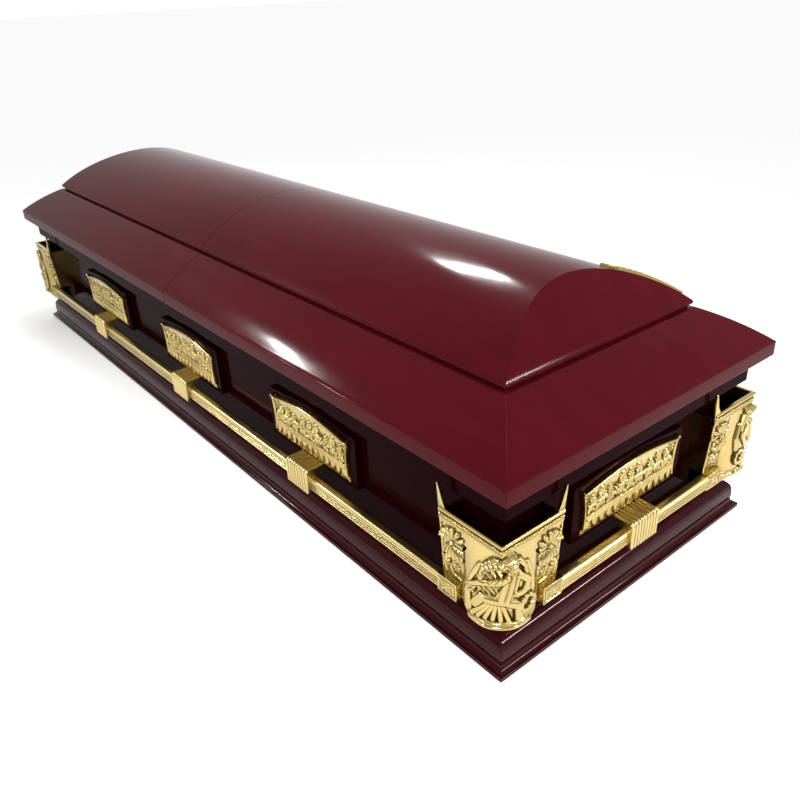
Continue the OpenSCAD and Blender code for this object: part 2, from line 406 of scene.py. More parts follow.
@dataclass(frozen=True)
class Lacquer:
    """Deep cherry gloss lacquer over fine grain.

    Args:
        name: The material's name.
        dark: The colour in the grain.
        light: The colour between the grain.
        gloss: The roughness of the polished film.
        strength: How strongly the film mirrors, as its index of refraction.
    """

    name: str = "cherry_lacquer"
    dark: Colour = (0.025, 0.0011, 0.0021, 1)
    light: Colour = (0.053, 0.0024, 0.0052, 1)
    gloss: float = 0.12
    strength: float = 1.105

    def make(self) -> bpy.types.Material:
        """Makes the material.

        Returns:
            The lacquer.
        """
        bench = Bench(self.name)
        grain = bench.noise(26.0, 5.0, (0.12, 1.0, 1.0), 0.62)
        cloud = bench.noise(2.6, 2.0)
        share = grain * 0.75 + cloud * 0.5 - 0.12
        colour = bench.blend(share, self.dark, self.light)
        haze = bench.noise(60.0, 2.0) * 0.05 + (self.gloss - 0.025)
        peel = bench.noise(210.0, 1.0) * 0.25 + bench.noise(14.0, 1.0)
        return bench.finish({
            "Base Color": colour, "Roughness": haze, "IOR": self.strength,
            "Normal": bench.bump(peel, 0.10, 0.0009)})


@dataclass(frozen=True)
class Gilt:
    """Polished gilt, darkened in the hollows as painted shade and rougher there.

    Args:
        name: The material's name.
        bright: The polished colour.
        hollow_shade: The darker colour of the hollows, a painted shade.
        polish: The roughness where it is polished.
    """

    name: str = "polished_gilt"
    bright: Colour = (0.42, 0.320, 0.122, 1)
    hollow_shade: Colour = (0.075, 0.040, 0.008, 1)
    polish: float = 0.17

    def make(self) -> bpy.types.Material:
        """Makes the material.

        Returns:
            The gilt.
        """
        bench = Bench(self.name)
        hollow = bench.node("ShaderNodeAttribute", {"attribute_name": "hollow"}, {}, "Fac")
        cloud = bench.noise(48.0, 3.0)
        # The hollows are darkened towards the darker hollow colour as painted shade, and made rougher.
        share = hollow * 1.2 + cloud * 0.14 - 0.04
        colour = bench.blend(share, self.bright, self.hollow_shade)
        rough = hollow * 0.22 + cloud * 0.10 + (self.polish - 0.04)
        cast = bench.noise(420.0, 2.0)
        return bench.finish({
            "Base Color": colour, "Roughness": rough, "Metallic": 1.0,
            "Normal": bench.bump(cast, 0.012, 0.0005)})


@dataclass(frozen=True)
class Board:
    """Plain sawn board, stained dark.

    Args:
        dark: The colour of the grain lines.
        light: The colour between them.
    """

    dark: Colour = (0.035, 0.012, 0.008, 1)
    light: Colour = (0.12, 0.045, 0.026, 1)

    def make(self) -> bpy.types.Material:
        """Makes the material.

        Returns:
            The board.
        """
        bench = Bench("stained_board")
        warp = bench.noise(3.0, 2.0, (0.2, 1.0, 1.0))
        rings = bench.noise(55.0, 6.0, (0.05, 1.0, 1.0), 0.7)
        share = rings * 0.8 + warp * 0.4 - 0.1
        return bench.finish({
            "Base Color": bench.blend(share, self.dark, self.light),
            "Roughness": rings * 0.2 + 0.5,
            "Normal": bench.bump(rings, 0.3, 0.0008)})


@dataclass(frozen=True)
class Paper:
    """Pale seamless floor.

    Args:
        colour: Its colour.
    """

    colour: Colour = (0.93, 0.93, 0.93, 1)

    def make(self) -> bpy.types.Material:
        """Makes the material.

        Returns:
            The floor's material.
        """
        bench = Bench("pale_paper")
        tooth = bench.noise(30.0, 2.0)
        shade = bench.blend(tooth * 0.4, self.colour, (0.95, 0.95, 0.95, 1))
        return bench.finish({"Base Color": shade, "Roughness": 0.9, "Specular IOR Level": 0.1})


# ---------------------------------------------------------------- mesh making

def arc(x: float, z: float, radius: float, start: float, end: float, steps: int) -> list[Pair]:
    """Gives points along an arc.

    Args:
        x: The centre's first coordinate.
        z: The centre's second coordinate.
        radius: The radius.
        start: The first angle, in degrees.
        end: The last angle, in degrees.
        steps: How many steps there are.

    Returns:
        The points.
    """
    turns = np.radians(np.linspace(start, end, steps + 1))
    return [(x + radius * math.cos(t), z + radius * math.sin(t)) for t in turns]


class Blank:
    """A piece's mesh while it is being made, in millimetres and in the fitting's own axes."""

    def __init__(self) -> None:
        """Starts an empty mesh."""
        self.points: list[Points] = []
        self.hollows: list[Points] = []
        self.faces: list[list[int]] = []
        self.count = 0

    def keep(self, points: Points, hollow: Points | None = None) -> int:
        """Takes points in.

        Args:
            points: The points.
            hollow: How deep in a hollow each one lies, from 0 to 1.

        Returns:
            The number of the first of them.
        """
        flat = np.asarray(points, float).reshape(-1, 3)
        deep = np.zeros(len(flat)) if hollow is None else np.asarray(hollow, float).reshape(-1)
        start = self.count
        self.points.append(flat)
        self.hollows.append(deep)
        self.count += len(flat)
        return start

    def grid(self, points: Points, inside: object, hollow: Points | None = None,
             wrap: bool = False) -> None:
        """Covers rows and columns of points with faces that point away from the inside.

        Args:
            points: The points, rows by columns.
            inside: A point behind the faces, or one for each row.
            hollow: How deep in a hollow each point lies.
            wrap: Whether the last column joins the first.
        """
        rows, columns = points.shape[:2]
        numbers = np.arange(rows * columns).reshape(rows, columns) + self.keep(points, hollow)
        if wrap:
            numbers = np.concatenate([numbers, numbers[:, :1]], 1)
            points = np.concatenate([points, points[:, :1]], 1)
        quads = np.stack([numbers[:-1, :-1], numbers[:-1, 1:],
                          numbers[1:, 1:], numbers[1:, :-1]], -1)
        a, b, c, d = points[:-1, :-1], points[:-1, 1:], points[1:, 1:], points[1:, :-1]
        facing = np.cross(c - a, d - b) * ((a + b + c + d) / 4 - np.asarray(inside, float))
        if float(facing.sum()) < 0:
            quads = quads[..., ::-1]
        self.faces.extend(quads.reshape(-1, 4).tolist())

    def face(self, points: Points, inside: object) -> None:
        """Adds one flat face of any number of corners that points away from the inside.

        Args:
            points: Its corners in order.
            inside: A point behind it.
        """
        after = np.roll(points, -1, 0)
        normal = np.cross(points, after).sum(0)
        start = self.keep(points)
        order = list(range(start, start + len(points)))
        if float(normal @ (points.mean(0) - np.asarray(inside, float))) < 0:
            order.reverse()
        self.faces.append(order)

    def sweep(self, rings: Points, closed: bool = False) -> None:
        """Joins closed outlines that follow one another, with flat ends unless they close up.

        Args:
            rings: The outlines, stations by points.
            closed: Whether the last outline joins the first.
        """
        middles = rings.mean(1)
        if closed:
            rings = np.concatenate([rings, rings[:1]])
            middles = np.concatenate([middles, middles[:1]])
        behind = ((middles[:-1] + middles[1:]) / 2)[:, None, :]
        self.grid(rings, behind, wrap=True)
        if not closed:
            self.face(rings[0], middles[1])
            self.face(rings[-1], middles[-2])

    def slab(self, outline: Points, start: float, end: float, chamfer: float = 0.0) -> None:
        """Adds a plate of any outline that stands off the body.

        Args:
            outline: The outline, along the face and up.
            start: Distance of its back from the body.
            end: Distance of its front from the body.
            chamfer: Size of its softened front edge.
        """
        levels = [(outline, start), (outline, end - chamfer)]
        if chamfer:
            levels += [(drawn_in(outline, 0.3 * chamfer), end - 0.3 * chamfer),
                       (drawn_in(outline, chamfer), end)]
        self.sweep(np.array([[(p[0], out, p[1]) for p in shape] for shape, out in levels]))

    def absorb(self, mesh: bpy.types.Mesh, shift: Triple = (0, 0, 0),
               hollow: Callable[[Points], Points] | None = None) -> None:
        """Takes in a finished mesh whose sizes are in millimetres, and removes it.

        Args:
            mesh: The mesh.
            shift: Where its own middle goes.
            hollow: Says how deep in a hollow each of its points lies.
        """
        found = np.empty(len(mesh.vertices) * 3)
        mesh.vertices.foreach_get("co", found)
        found = found.reshape(-1, 3) + np.asarray(shift, float)
        start = self.keep(found, hollow(found) if hollow else None)
        self.faces.extend([start + v for v in face.vertices] for face in mesh.polygons)
        bpy.data.meshes.remove(mesh)

    def build(self, name: str, place: Placement, finish: bpy.types.Material,
              crease: float = 38.0) -> bpy.types.Object:
        """Ends the mesh as an object in metres, in the casket's axes.

        Args:
            name: The piece's name.
            place: Where it goes.
            finish: Its material.
            crease: Angle in degrees over which an edge stays sharp.

        Returns:
            The piece.
        """
        points = place.apply(np.concatenate(self.points))
        faces = [face[::-1] for face in self.faces] if place.mirrored else self.faces
        mesh = bpy.data.meshes.new(name)
        mesh.from_pydata((points * MM).tolist(), [], faces)
        # The hollow attribute is what the gilt darkens as painted shade.
        deep = mesh.attributes.new("hollow", "FLOAT", "POINT")
        share = np.clip(np.concatenate(self.hollows), 0, 1)
        deep.data.foreach_set("value", share.astype(np.float32))
        shape = bmesh.new()
        shape.from_mesh(mesh)
        bmesh.ops.remove_doubles(shape, verts=shape.verts, dist=WELD * MM)
        loose = [v for v in shape.verts if not v.link_faces]
        bmesh.ops.delete(shape, geom=loose, context="VERTS")
        shape.to_mesh(mesh)
        shape.free()
        mesh.shade_smooth()
        mesh.set_sharp_from_angle(angle=math.radians(crease))
        mesh.materials.append(finish)
        piece = bpy.data.objects.new(name, mesh)
        bpy.context.scene.collection.objects.link(piece)
        return piece


def soften(piece: bpy.types.Object, width: float) -> None:
    """Gives a piece small rounded arrises.

    Args:
        piece: The piece.
        width: The arris's width in millimetres.
    """
    piece.data.set_sharp_from_angle(angle=math.pi)
    bevel = piece.modifiers.new("arris", "BEVEL")
    bevel.width = width * MM
    bevel.segments = ARRIS_STEPS
    bevel.limit_method = "ANGLE"
    bevel.angle_limit = math.radians(ARRIS_ANGLE)
    bevel.harden_normals = True
    bevel.miter_outer = "MITER_ARC"


def hang(piece: bpy.types.Object, slot: str, *nodes: str) -> None:
    """Puts a finished piece on the casket in place of its solids.

    Args:
        piece: The piece.
        slot: Not used.
        nodes: The nodes that it stands for.
    """
    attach(piece, BODY)
    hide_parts(*nodes)
    LOG.info("%s: %d faces", piece.name, len(piece.data.polygons))


# ---------------------------------------------------------------- joinery

@dataclass
class Joinery:
    """The lacquered case and lid: mitred mouldings, walls, sloping rim and barrel crown.

    Args:
        carcass: The casket's sizes.
        finish: The lid's lacquer.
        shade_painted_lacquer: The lid's lacquer darkened as painted shade, on the walls, rail and lug blocks.
        deep: The lid's lacquer darkened as painted shade, less than the walls', on the base moulding.
        board: The bottom board's finish.
        wall: Thickness of the walls.
        lid_wall: Thickness of the lid's boards.
        rail_inset: How far the rail stands in from the lid's edge.
        fascia: Height of the lid's upright edge.
        rim_run: Width of the sloping rim.
        rim_curve: Radius of the rim's convex slope.
        lean: How far the crown's ends lean in.
        arris: Width of the softened edges.
        barrel_steps: Steps across half of the crown.
    """

    carcass: Carcass
    finish: bpy.types.Material
    shade_painted_lacquer: bpy.types.Material
    deep: bpy.types.Material
    board: bpy.types.Material
    wall: float = 20.0
    lid_wall: float = 18.0
    rail_inset: float = 27.0
    fascia: float = 29.5
    rim_run: float = 105.0
    rim_curve: float = 450.0
    lean: float = 101.5
    arris: float = 1.3
    barrel_steps: int = 30

    def _frame(self, name: str, loop: list[Triple]) -> None:
        """Makes a mitred frame round all four sides.

        Args:
            name: The frame's node.
            loop: Its closed outline: half length, half width and height of each point.
        """
        corners = [(1, -1), (1, 1), (-1, 1), (-1, -1)]
        rings = np.array([[(x * sx, y * sy, z) for x, y, z in loop] for sx, sy in corners])
        blank = Blank()
        blank.sweep(rings, closed=True)
        # Walls and rail get the lacquer darkened as painted shade; the base moulding gets a lighter painted shade.
        finish = self.deep if name == "base_moulding" else self.shade_painted_lacquer
        piece = blank.build(name + "_lacquered", HOME, finish)
        soften(piece, self.arris)
        hang(piece, "lacquer", name)

    def _inset(self, points: list[Pair]) -> list[Triple]:
        """Turns distances in from the lid's edge and heights into an outline.

        Args:
            points: The distances and heights.

        Returns:
            The outline's points.
        """
        return [(self.carcass.lid_x - i, self.carcass.lid_y - i, z) for i, z in points]

    def base_moulding(self) -> None:
        """Makes the foot, hollow, upright face and large rounded shoulder."""
        c = self.carcass
        outer = ([(10, 0), (7, 3), (7, 10.4)] + arc(8, 21, 10.4, 270, 356, 12)
                 + [(19, 22), (18.5, 26), (18.3, 31), (18.5, 36), (19, 40)]
                 + arc(44, 41, 25, 176, 108, 16)
                 + [(38, c.base_top - 4.6), (38, c.base_top - 0.8), (39, c.base_top)])
        x, y = c.body_x - self.wall - 25, c.body_y - self.wall - 25
        self._frame("base_moulding", self._inset(outer) + [(x, y, c.base_top), (x, y, 0)])

    def body_walls(self) -> None:
        """Makes the four walls."""
        c = self.carcass
        x, y = c.body_x, c.body_y
        inner_x, inner_y = x - self.wall, y - self.wall
        self._frame("body_walls", [(x, y, c.base_top), (x, y, c.wall_top),
                                   (inner_x, inner_y, c.wall_top), (inner_x, inner_y, c.base_top)])

    def top_rail(self) -> None:
        """Makes the rail under the lid, with a cove below it."""
        c = self.carcass
        cove, inset = 18.0, self.rail_inset
        low = c.rail_low + 25
        outer = [(inset + cove, low - 25)] + [
            (inset + cove * math.cos(turn), low - 19 + 17 * math.sin(turn))
            for turn in (math.radians(7.5 * t) for t in range(13))] + [(inset, low), (inset, c.seat)]
        x, y = c.body_x, c.body_y
        self._frame("top_rail", self._inset(outer) + [
            (x - self.wall, y - self.wall, c.seat), (x - self.wall, y - self.wall, c.wall_top),
            (x, y, c.wall_top), (x, y, low - 25)])

    def _rim_slope(self, steps: int = 22) -> list[Pair]:
        """Gives the rim's gentle convex slope.

        Args:
            steps: How many steps it has.

        Returns:
            Distances in from the lid's edge, and heights.
        """
        start = (2.2, self.carcass.seat + self.fascia)
        dx, dz = self.rim_run - start[0], self.carcass.rim_top - start[1]
        chord = math.hypot(dx, dz)
        sag = math.sqrt(self.rim_curve ** 2 - chord ** 2 / 4)
        x, z = start[0] + dx / 2 + sag * dz / chord, start[1] + dz / 2 - sag * dx / chord
        first = math.degrees(math.atan2(start[1] - z, start[0] - x))
        last = math.degrees(math.atan2(self.carcass.rim_top - z, self.rim_run - x))
        return arc(x, z, self.rim_curve, first, last, steps)

    @staticmethod
    def _round_half(rows: list[Triple], sign: int, split: float) -> Points:
        """Takes an outline along one side of a lid half, its end and the other side.

        Args:
            rows: The outline: half length, half width and height of each point.
            sign: 1 at the head, -1 at the foot.
            split: Where the lid is parted.

        Returns:
            The four stations by the outline's points.
        """
        return np.array([[(sign * x if corner else split, side * y, z) for x, y, z in rows]
                         for corner, side in ((0, 1), (1, 1), (1, -1), (0, -1))])

    def lid_rim(self, half: str, sign: int, split: float) -> None:
        """Makes one half of the lid's sloping rim.

        Args:
            half: The half's name.
            sign: 1 at the head, -1 at the foot.
            split: Where it is parted.
        """
        c = self.carcass
        top, fascia_top = c.rim_top, c.seat + self.fascia
        hidden = self.rail_inset + self.wall
        loop = self._inset(
            [(1.2, c.seat), (0, c.seat + 1.2)] + arc(3.5, fascia_top - 3, 3.5, 180, 130, 4)
            + self._rim_slope() + [(self.rim_run + 41, top), (self.rim_run + 41, top - 18),
                                   (self.rim_run + 2, top - 21), (self.rim_run * 0.57, fascia_top + 12.8),
                                   (hidden, fascia_top - 14), (hidden, c.seat)])
        blank = Blank()
        blank.sweep(self._round_half(loop, sign, split))
        piece = blank.build(f"lid_rim_{half}_lacquered", HOME, self.finish)
        soften(piece, self.arris)
        hang(piece, "lacquer", f"lid_rim_{half}")

    def crown_reach(self, z: float) -> float:
        """Gives half the crown's length at a height, where its ends lean in.

        Args:
            z: The height.

        Returns:
            Half the length.
        """
        spring = self.carcass.rim_top + 12
        share = max(0.0, (z - spring) / ((self.carcass.crown_top - spring) * 1.05))
        return self.carcass.crown_x - 1 - self.lean * (0.624 * share + 0.376 * share * share)

    def barrel(self) -> Triple:
        """Gives the crown's radius, its centre's height and the height where it springs."""
        c = self.carcass
        spring = c.rim_top + 12
        rise = c.crown_top - spring
        radius = (c.crown_y ** 2 + rise ** 2) / (2 * rise)
        return radius, c.crown_top - radius, spring

    def lid_crown(self, half: str, sign: int, split: float) -> None:
        """Makes one half of the barrel crown.

        Args:
            half: The half's name.
            sign: 1 at the head, -1 at the foot.
            split: Where it is parted.
        """
        c, t = self.carcass, self.lid_wall
        radius, centre, spring = self.barrel()
        x, y, low = c.crown_x, c.crown_y, c.rim_top
        turns = np.linspace(math.asin((y - 0.6) / radius), 0, self.barrel_steps + 1)
        outer = [(x - 6, y - 6, low), (x - 6, y - 6, low + 5.5), (x - 1.5, y - 1.5, low + 5.5),
                 (x, y, low + 7), (x, y, spring - 2)]
        outer += [(self.crown_reach(centre + radius * math.cos(a)), radius * math.sin(a),
                   centre + radius * math.cos(a)) for a in turns]
        inner_y, inner = y - t - 2, radius - t
        inner_turns = np.linspace(math.asin(inner_y / inner), 0, self.barrel_steps + 1)
        start = centre + inner * math.cos(inner_turns[0])
        inside = [(x - 6 - t, inner_y, low + (start - low) * k / 5) for k in range(5)]
        inside += [(self.crown_reach(centre + inner * math.cos(a)) - t, inner * math.sin(a),
                    centre + inner * math.cos(a)) for a in inner_turns]
        blank = Blank()
        skins = [self._round_half(rows, sign, split).swapaxes(0, 1) for rows in (outer, inside)]
        middle = split + sign * 300
        blank.grid(skins[0], (middle, 0, low - 300))
        lining = len(blank.faces)
        blank.grid(skins[1], (middle, 0, low - 300))
        blank.faces[lining:] = [f[::-1] for f in blank.faces[lining:]]
        blank.grid(np.stack([skins[0][0], skins[1][0]]), (middle, 0, low + 300))
        for side in (0, 3):
            blank.grid(np.stack([skins[0][:, side], skins[1][:, side]]), (middle, 0, low))
        piece = blank.build(f"lid_crown_{half}_lacquered", HOME, self.finish)
        soften(piece, self.arris)
        hang(piece, "lacquer", f"lid_crown_{half}")

    def block(self, name: str, place: Placement) -> None:
        """Makes the lacquered block behind a lug plate.

        Args:
            name: The block's node.
            place: Where it goes.
        """
        low_corner, high_corner = solid_box(name)
        length = half_length(low_corner, high_corner)
        depth = min(high_corner.x - low_corner.x, high_corner.y - low_corner.y)
        low, top = low_corner.z, high_corner.z
        shoulder = top - 8
        arch = [(t * (length - 16), shoulder - 2 + 10 * math.cos(math.pi / 2 * t))
                for t in np.linspace(1, -1, 25)]
        outline = np.array([(-length, low), (length, low), (length, shoulder - 4),
                            (length - 5, shoulder)] + arch + [(-length + 5, shoulder), (-length, shoulder - 4)])
        blank = Blank()
        blank.slab(outline, 0, depth)
        # The block gets the lacquer darkened as painted shade.
        piece = blank.build(name + "_lacquered", place, self.shade_painted_lacquer)
        soften(piece, 1.6)
        hang(piece, "lacquer", name)

    def bottom_board(self) -> None:
        """Gives the bottom board its finish; its shape is the solid's own."""
        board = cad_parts["bottom_board"]
        board.data.materials.clear()
        board.data.materials.append(self.board)
        LOG.info("bottom_board: finished")

    def build(self) -> None:
        """Makes every lacquered piece but the lug blocks."""
        c = self.carcass
        self.base_moulding()
        self.body_walls()
        self.top_rail()
        for half, sign, split in (("head", 1, c.split_head), ("foot", -1, c.split_foot)):
            self.lid_rim(half, sign, split)
            self.lid_crown(half, sign, split)
        self.bottom_board()


# ---------------------------------------------------------------- geometry nodes

class Growth:
    """A Geometry Nodes tree that is run once on a small host mesh."""

    def __init__(self, name: str) -> None:
        """Starts a tree with its host geometry as the first input.

        Args:
            name: The tree's name.
        """
        self.tree = bpy.data.node_groups.new(name, "GeometryNodeTree")
        face = self.tree.interface
        face.new_socket("Geometry", in_out="INPUT", socket_type="NodeSocketGeometry")
        face.new_socket("Geometry", in_out="OUTPUT", socket_type="NodeSocketGeometry")
        self.names: dict[str, str] = {}
        self.entry = self.tree.nodes.new("NodeGroupInput")
        self.exit = self.tree.nodes.new("NodeGroupOutput")
        self.host = self.entry.outputs[0]

    def size(self, name: str, kind: str = "NodeSocketFloat") -> bpy.types.NodeSocket:
        """Adds a named input.

        Args:
            name: The input's name.
            kind: Its socket's type.

        Returns:
            The input's socket in the tree.
        """
        made = self.tree.interface.new_socket(name, in_out="INPUT", socket_type=kind)
        self.names[name] = made.identifier
        return next(s for s in self.entry.outputs if s.identifier == made.identifier)

    def node(self, kind: str, values: dict[object, object], output: object = 0,
             **settings: object) -> bpy.types.NodeSocket:
        """Adds a node.

        Args:
            kind: The node's type.
            values: Its sockets' values or links, by name or place.
            output: The output socket's name or place.
            **settings: The node's own settings.

        Returns:
            The output socket.
        """
        made = self.tree.nodes.new(kind)
        for key, value in settings.items():
            setattr(made, key, value)
        for key, value in values.items():
            if isinstance(value, bpy.types.NodeSocket):
                self.tree.links.new(value, made.inputs[key])
            else:
                made.inputs[key].default_value = value
        return made.outputs[output]

    def close(self, result: bpy.types.NodeSocket) -> "Growth":
        """Ends the tree in real, smooth geometry with its material.

        Args:
            result: The geometry.

        Returns:
            The tree itself.
        """
        real = self.node("GeometryNodeRealizeInstances", {0: result})
        smooth = self.node("GeometryNodeSetShadeSmooth", {0: real})
        dressed = self.node("GeometryNodeSetMaterial", {0: smooth, "Material": self.size(
            "Finish", "NodeSocketMaterial")})
        self.tree.links.new(dressed, self.exit.inputs[0])
        return self

    def run(self, path: list[Triple], closed: bool = False,
            **values: object) -> bpy.types.Mesh:
        """Runs the tree on a line of points.

        Args:
            path: The points.
            closed: Whether the last point joins the first.
            **values: The named inputs' values; spaces in a name are underscores.

        Returns:
            The mesh that it makes, in the same measure as the path.
        """
        host = bpy.data.meshes.new("path")
        edges = [(i, i + 1) for i in range(len(path) - 1)] + ([(len(path) - 1, 0)] if closed else [])
        host.from_pydata([tuple(map(float, p)) for p in path], edges, [])
        holder = bpy.data.objects.new("path", host)
        bpy.context.scene.collection.objects.link(holder)
        grow = holder.modifiers.new("growth", "NODES")
        grow.node_group = self.tree
        for name, value in values.items():
            grow[self.names[name.replace("_", " ")]] = value
        graph = bpy.context.evaluated_depsgraph_get()
        made = bpy.data.meshes.new_from_object(holder.evaluated_get(graph))
        holder.modifiers.remove(grow)
        bpy.data.objects.remove(holder)
        bpy.data.meshes.remove(host)
        return made


def bead_row() -> Growth:
    """Makes the tree that sets round or oval beads along a path.

    Returns:
        The tree, with inputs Pitch, Bead, Seed and Finish.
    """
    tree = Growth("bead_row")
    pitch, bead, seed = tree.size("Pitch"), tree.size("Bead", "NodeSocketVector"), tree.size(
        "Seed", "NodeSocketInt")
    line = tree.node("GeometryNodeMeshToCurve", {0: tree.host})
    spaced = tree.node("GeometryNodeResampleCurve", {"Curve": line, "Length": pitch}, mode="LENGTH")
    ball = tree.node("GeometryNodeMeshUVSphere", {"Segments": 8, "Rings": 6, "Radius": 1.0})
    vary = tree.node("FunctionNodeRandomValue", {2: 0.92, 3: 1.06, "Seed": seed}, 1, data_type="FLOAT")
    scale = tree.node("ShaderNodeVectorMath", {0: bead, "Scale": vary}, operation="SCALE")
    return tree.close(tree.node("GeometryNodeInstanceOnPoints", {
        "Points": spaced, "Instance": ball, "Scale": scale}))


def rib_row() -> Growth:
    """Makes the tree that lays ribs side by side, each along the same path.

    Returns:
        The tree, with inputs Count, Step, Radius and Finish.
    """
    tree = Growth("rib_row")
    count, step, radius = (tree.size("Count", "NodeSocketInt"), tree.size("Step", "NodeSocketVector"),
                           tree.size("Radius"))
    line = tree.node("GeometryNodeMeshToCurve", {0: tree.host})
    round_bar = tree.node("GeometryNodeCurvePrimitiveCircle", {"Resolution": 10, "Radius": radius})
    rib = tree.node("GeometryNodeCurveToMesh", {
        "Curve": line, "Profile Curve": round_bar, "Fill Caps": True})
    places = tree.node("GeometryNodeMeshLine", {"Count": count, "Offset": step})
    return tree.close(tree.node("GeometryNodeInstanceOnPoints", {"Points": places, "Instance": rib}))


def bar_sweep() -> Growth:
    """Makes the tree that draws a straight bar out of its section.

    Returns:
        The tree, with inputs Start, End and Finish.
    """
    tree = Growth("bar_sweep")
    start, end = tree.size("Start", "NodeSocketVector"), tree.size("End", "NodeSocketVector")
    section = tree.node("GeometryNodeMeshToCurve", {0: tree.host})
    line = tree.node("GeometryNodeCurvePrimitiveLine", {"Start": start, "End": end})
    return tree.close(tree.node("GeometryNodeCurveToMesh", {
        "Curve": line, "Profile Curve": section, "Fill Caps": True}))


# ---------------------------------------------------------------- modelling in relief

class Relief:
    """Modelling raised on a sheet, in millimetres."""

    def __init__(self, x: Points, z: Points) -> None:
        """Starts a flat sheet.

        Args:
            x: Each point's distance along the sheet.
            z: Each point's height on it.
        """
        self.x, self.z = x, z
        self.high = np.zeros_like(x)

    def _over(self, raised: Points, where: Points, blend: float = 0.0) -> None:
        """Keeps the higher of the sheet and a new form, with a soft join."""
        if blend:
            gap = np.clip(0.5 + 0.5 * (raised - self.high) / blend, 0, 1)
            raised = self.high + (raised - self.high) * gap + blend * gap * (1 - gap) * 0.5
        self.high = np.where(where, np.maximum(self.high, raised), self.high)

    def _turned(self, x: float, z: float, turn: float) -> tuple[Points, Points]:
        """Gives each point's place along and across a turned line.

        Args:
            x: The line's middle along the sheet.
            z: Its middle's height.
            turn: Its turn in degrees.

        Returns:
            The places along it and across it.
        """
        c, s = math.cos(math.radians(turn)), math.sin(math.radians(turn))
        return ((self.x - x) * c + (self.z - z) * s, (self.z - z) * c - (self.x - x) * s)

    def oval(self, x: float, z: float, wide: float, tall: float, high: float, turn: float = 0.0,
             low: float = 0.0, blend: float = 0.0) -> None:
        """Raises a rounded oval.

        Args:
            x: Its middle along the sheet.
            z: Its middle's height.
            wide: Half its width.
            tall: Half its height.
            high: How far it stands proud.
            turn: Its turn in degrees.
            low: How far its foot stands proud.
            blend: How softly it joins what is under it.
        """
        u, v = self._turned(x, z, turn)
        far = (u / wide) * (u / wide) + (v / tall) * (v / tall)
        self._over(low + high * np.sqrt(np.clip(1 - far, 0, 1)), far < 1, blend)

    def limb(self, line: list[Pair], radii: Pair, high: float,
             low: float = 0.0, blend: float = 0.0) -> None:
        """Raises a rounded band along a line.

        Args:
            line: The line's points.
            radii: Half its width at the start and at the end.
            high: Its height as a share of half its width.
            low: How far its foot stands proud.
            blend: How softly it joins what is under it.
        """
        parts = len(line) - 1
        for k in range(parts):
            (ax, az), (bx, bz) = line[k], line[k + 1]
            dx, dz = bx - ax, bz - az
            square = max(1e-6, dx * dx + dz * dz)
            share = np.clip(((self.x - ax) * dx + (self.z - az) * dz) / square, 0, 1)
            off = np.hypot(self.x - ax - share * dx, self.z - az - share * dz)
            radius = radii[0] + (radii[1] - radii[0]) * (k + share) / parts
            self._over(low + high * np.sqrt(np.clip(radius * radius - off * off, 0, None)),
                       off < radius, blend)

    def folds(self, x: float, z: float, wide: float, tall: float, turn: float, pitch: float,
              depth: float, fan: float = 0.0) -> None:
        """Cuts soft folds into an oval part of the sheet.

        Args:
            x: The part's middle along the sheet.
            z: Its middle's height.
            wide: Half its width.
            tall: Half its height.
            turn: Direction across the folds, in degrees.
            pitch: Distance between folds.
            depth: Their depth.
            fan: How much they spread.
        """
        u, v = self._turned(x, z, turn)
        window = np.clip(1 - (u / wide) ** 2 - (v / tall) ** 2, 0, 1)
        wave = np.sin(2 * math.pi * u / (pitch * (1 + fan * v / tall)) + 0.8 * np.sin(v / tall * 2.2))
        self.high += depth * wave * np.minimum(1, window * 2.5) * np.minimum(1, self.high)

    def hollows(self, reach: int = 3, deep: float = 0.9) -> Points:
        """Finds the hollows, which the gilt darkens as painted shade.

        Args:
            reach: How far to look, in grid steps.
            deep: Depth in millimetres that counts as a full hollow.

        Returns:
            A value from 0 to 1 for each point.
        """
        level = self.high
        for _ in range(reach * 2):
            padded = np.pad(level, 1, mode="edge")
            level = (padded[:-2, 1:-1] + padded[2:, 1:-1] + padded[1:-1, :-2] + padded[1:-1, 2:]
                     + 2 * padded[1:-1, 1:-1]) / 6
        return np.clip((level - self.high) / deep, 0, 1)


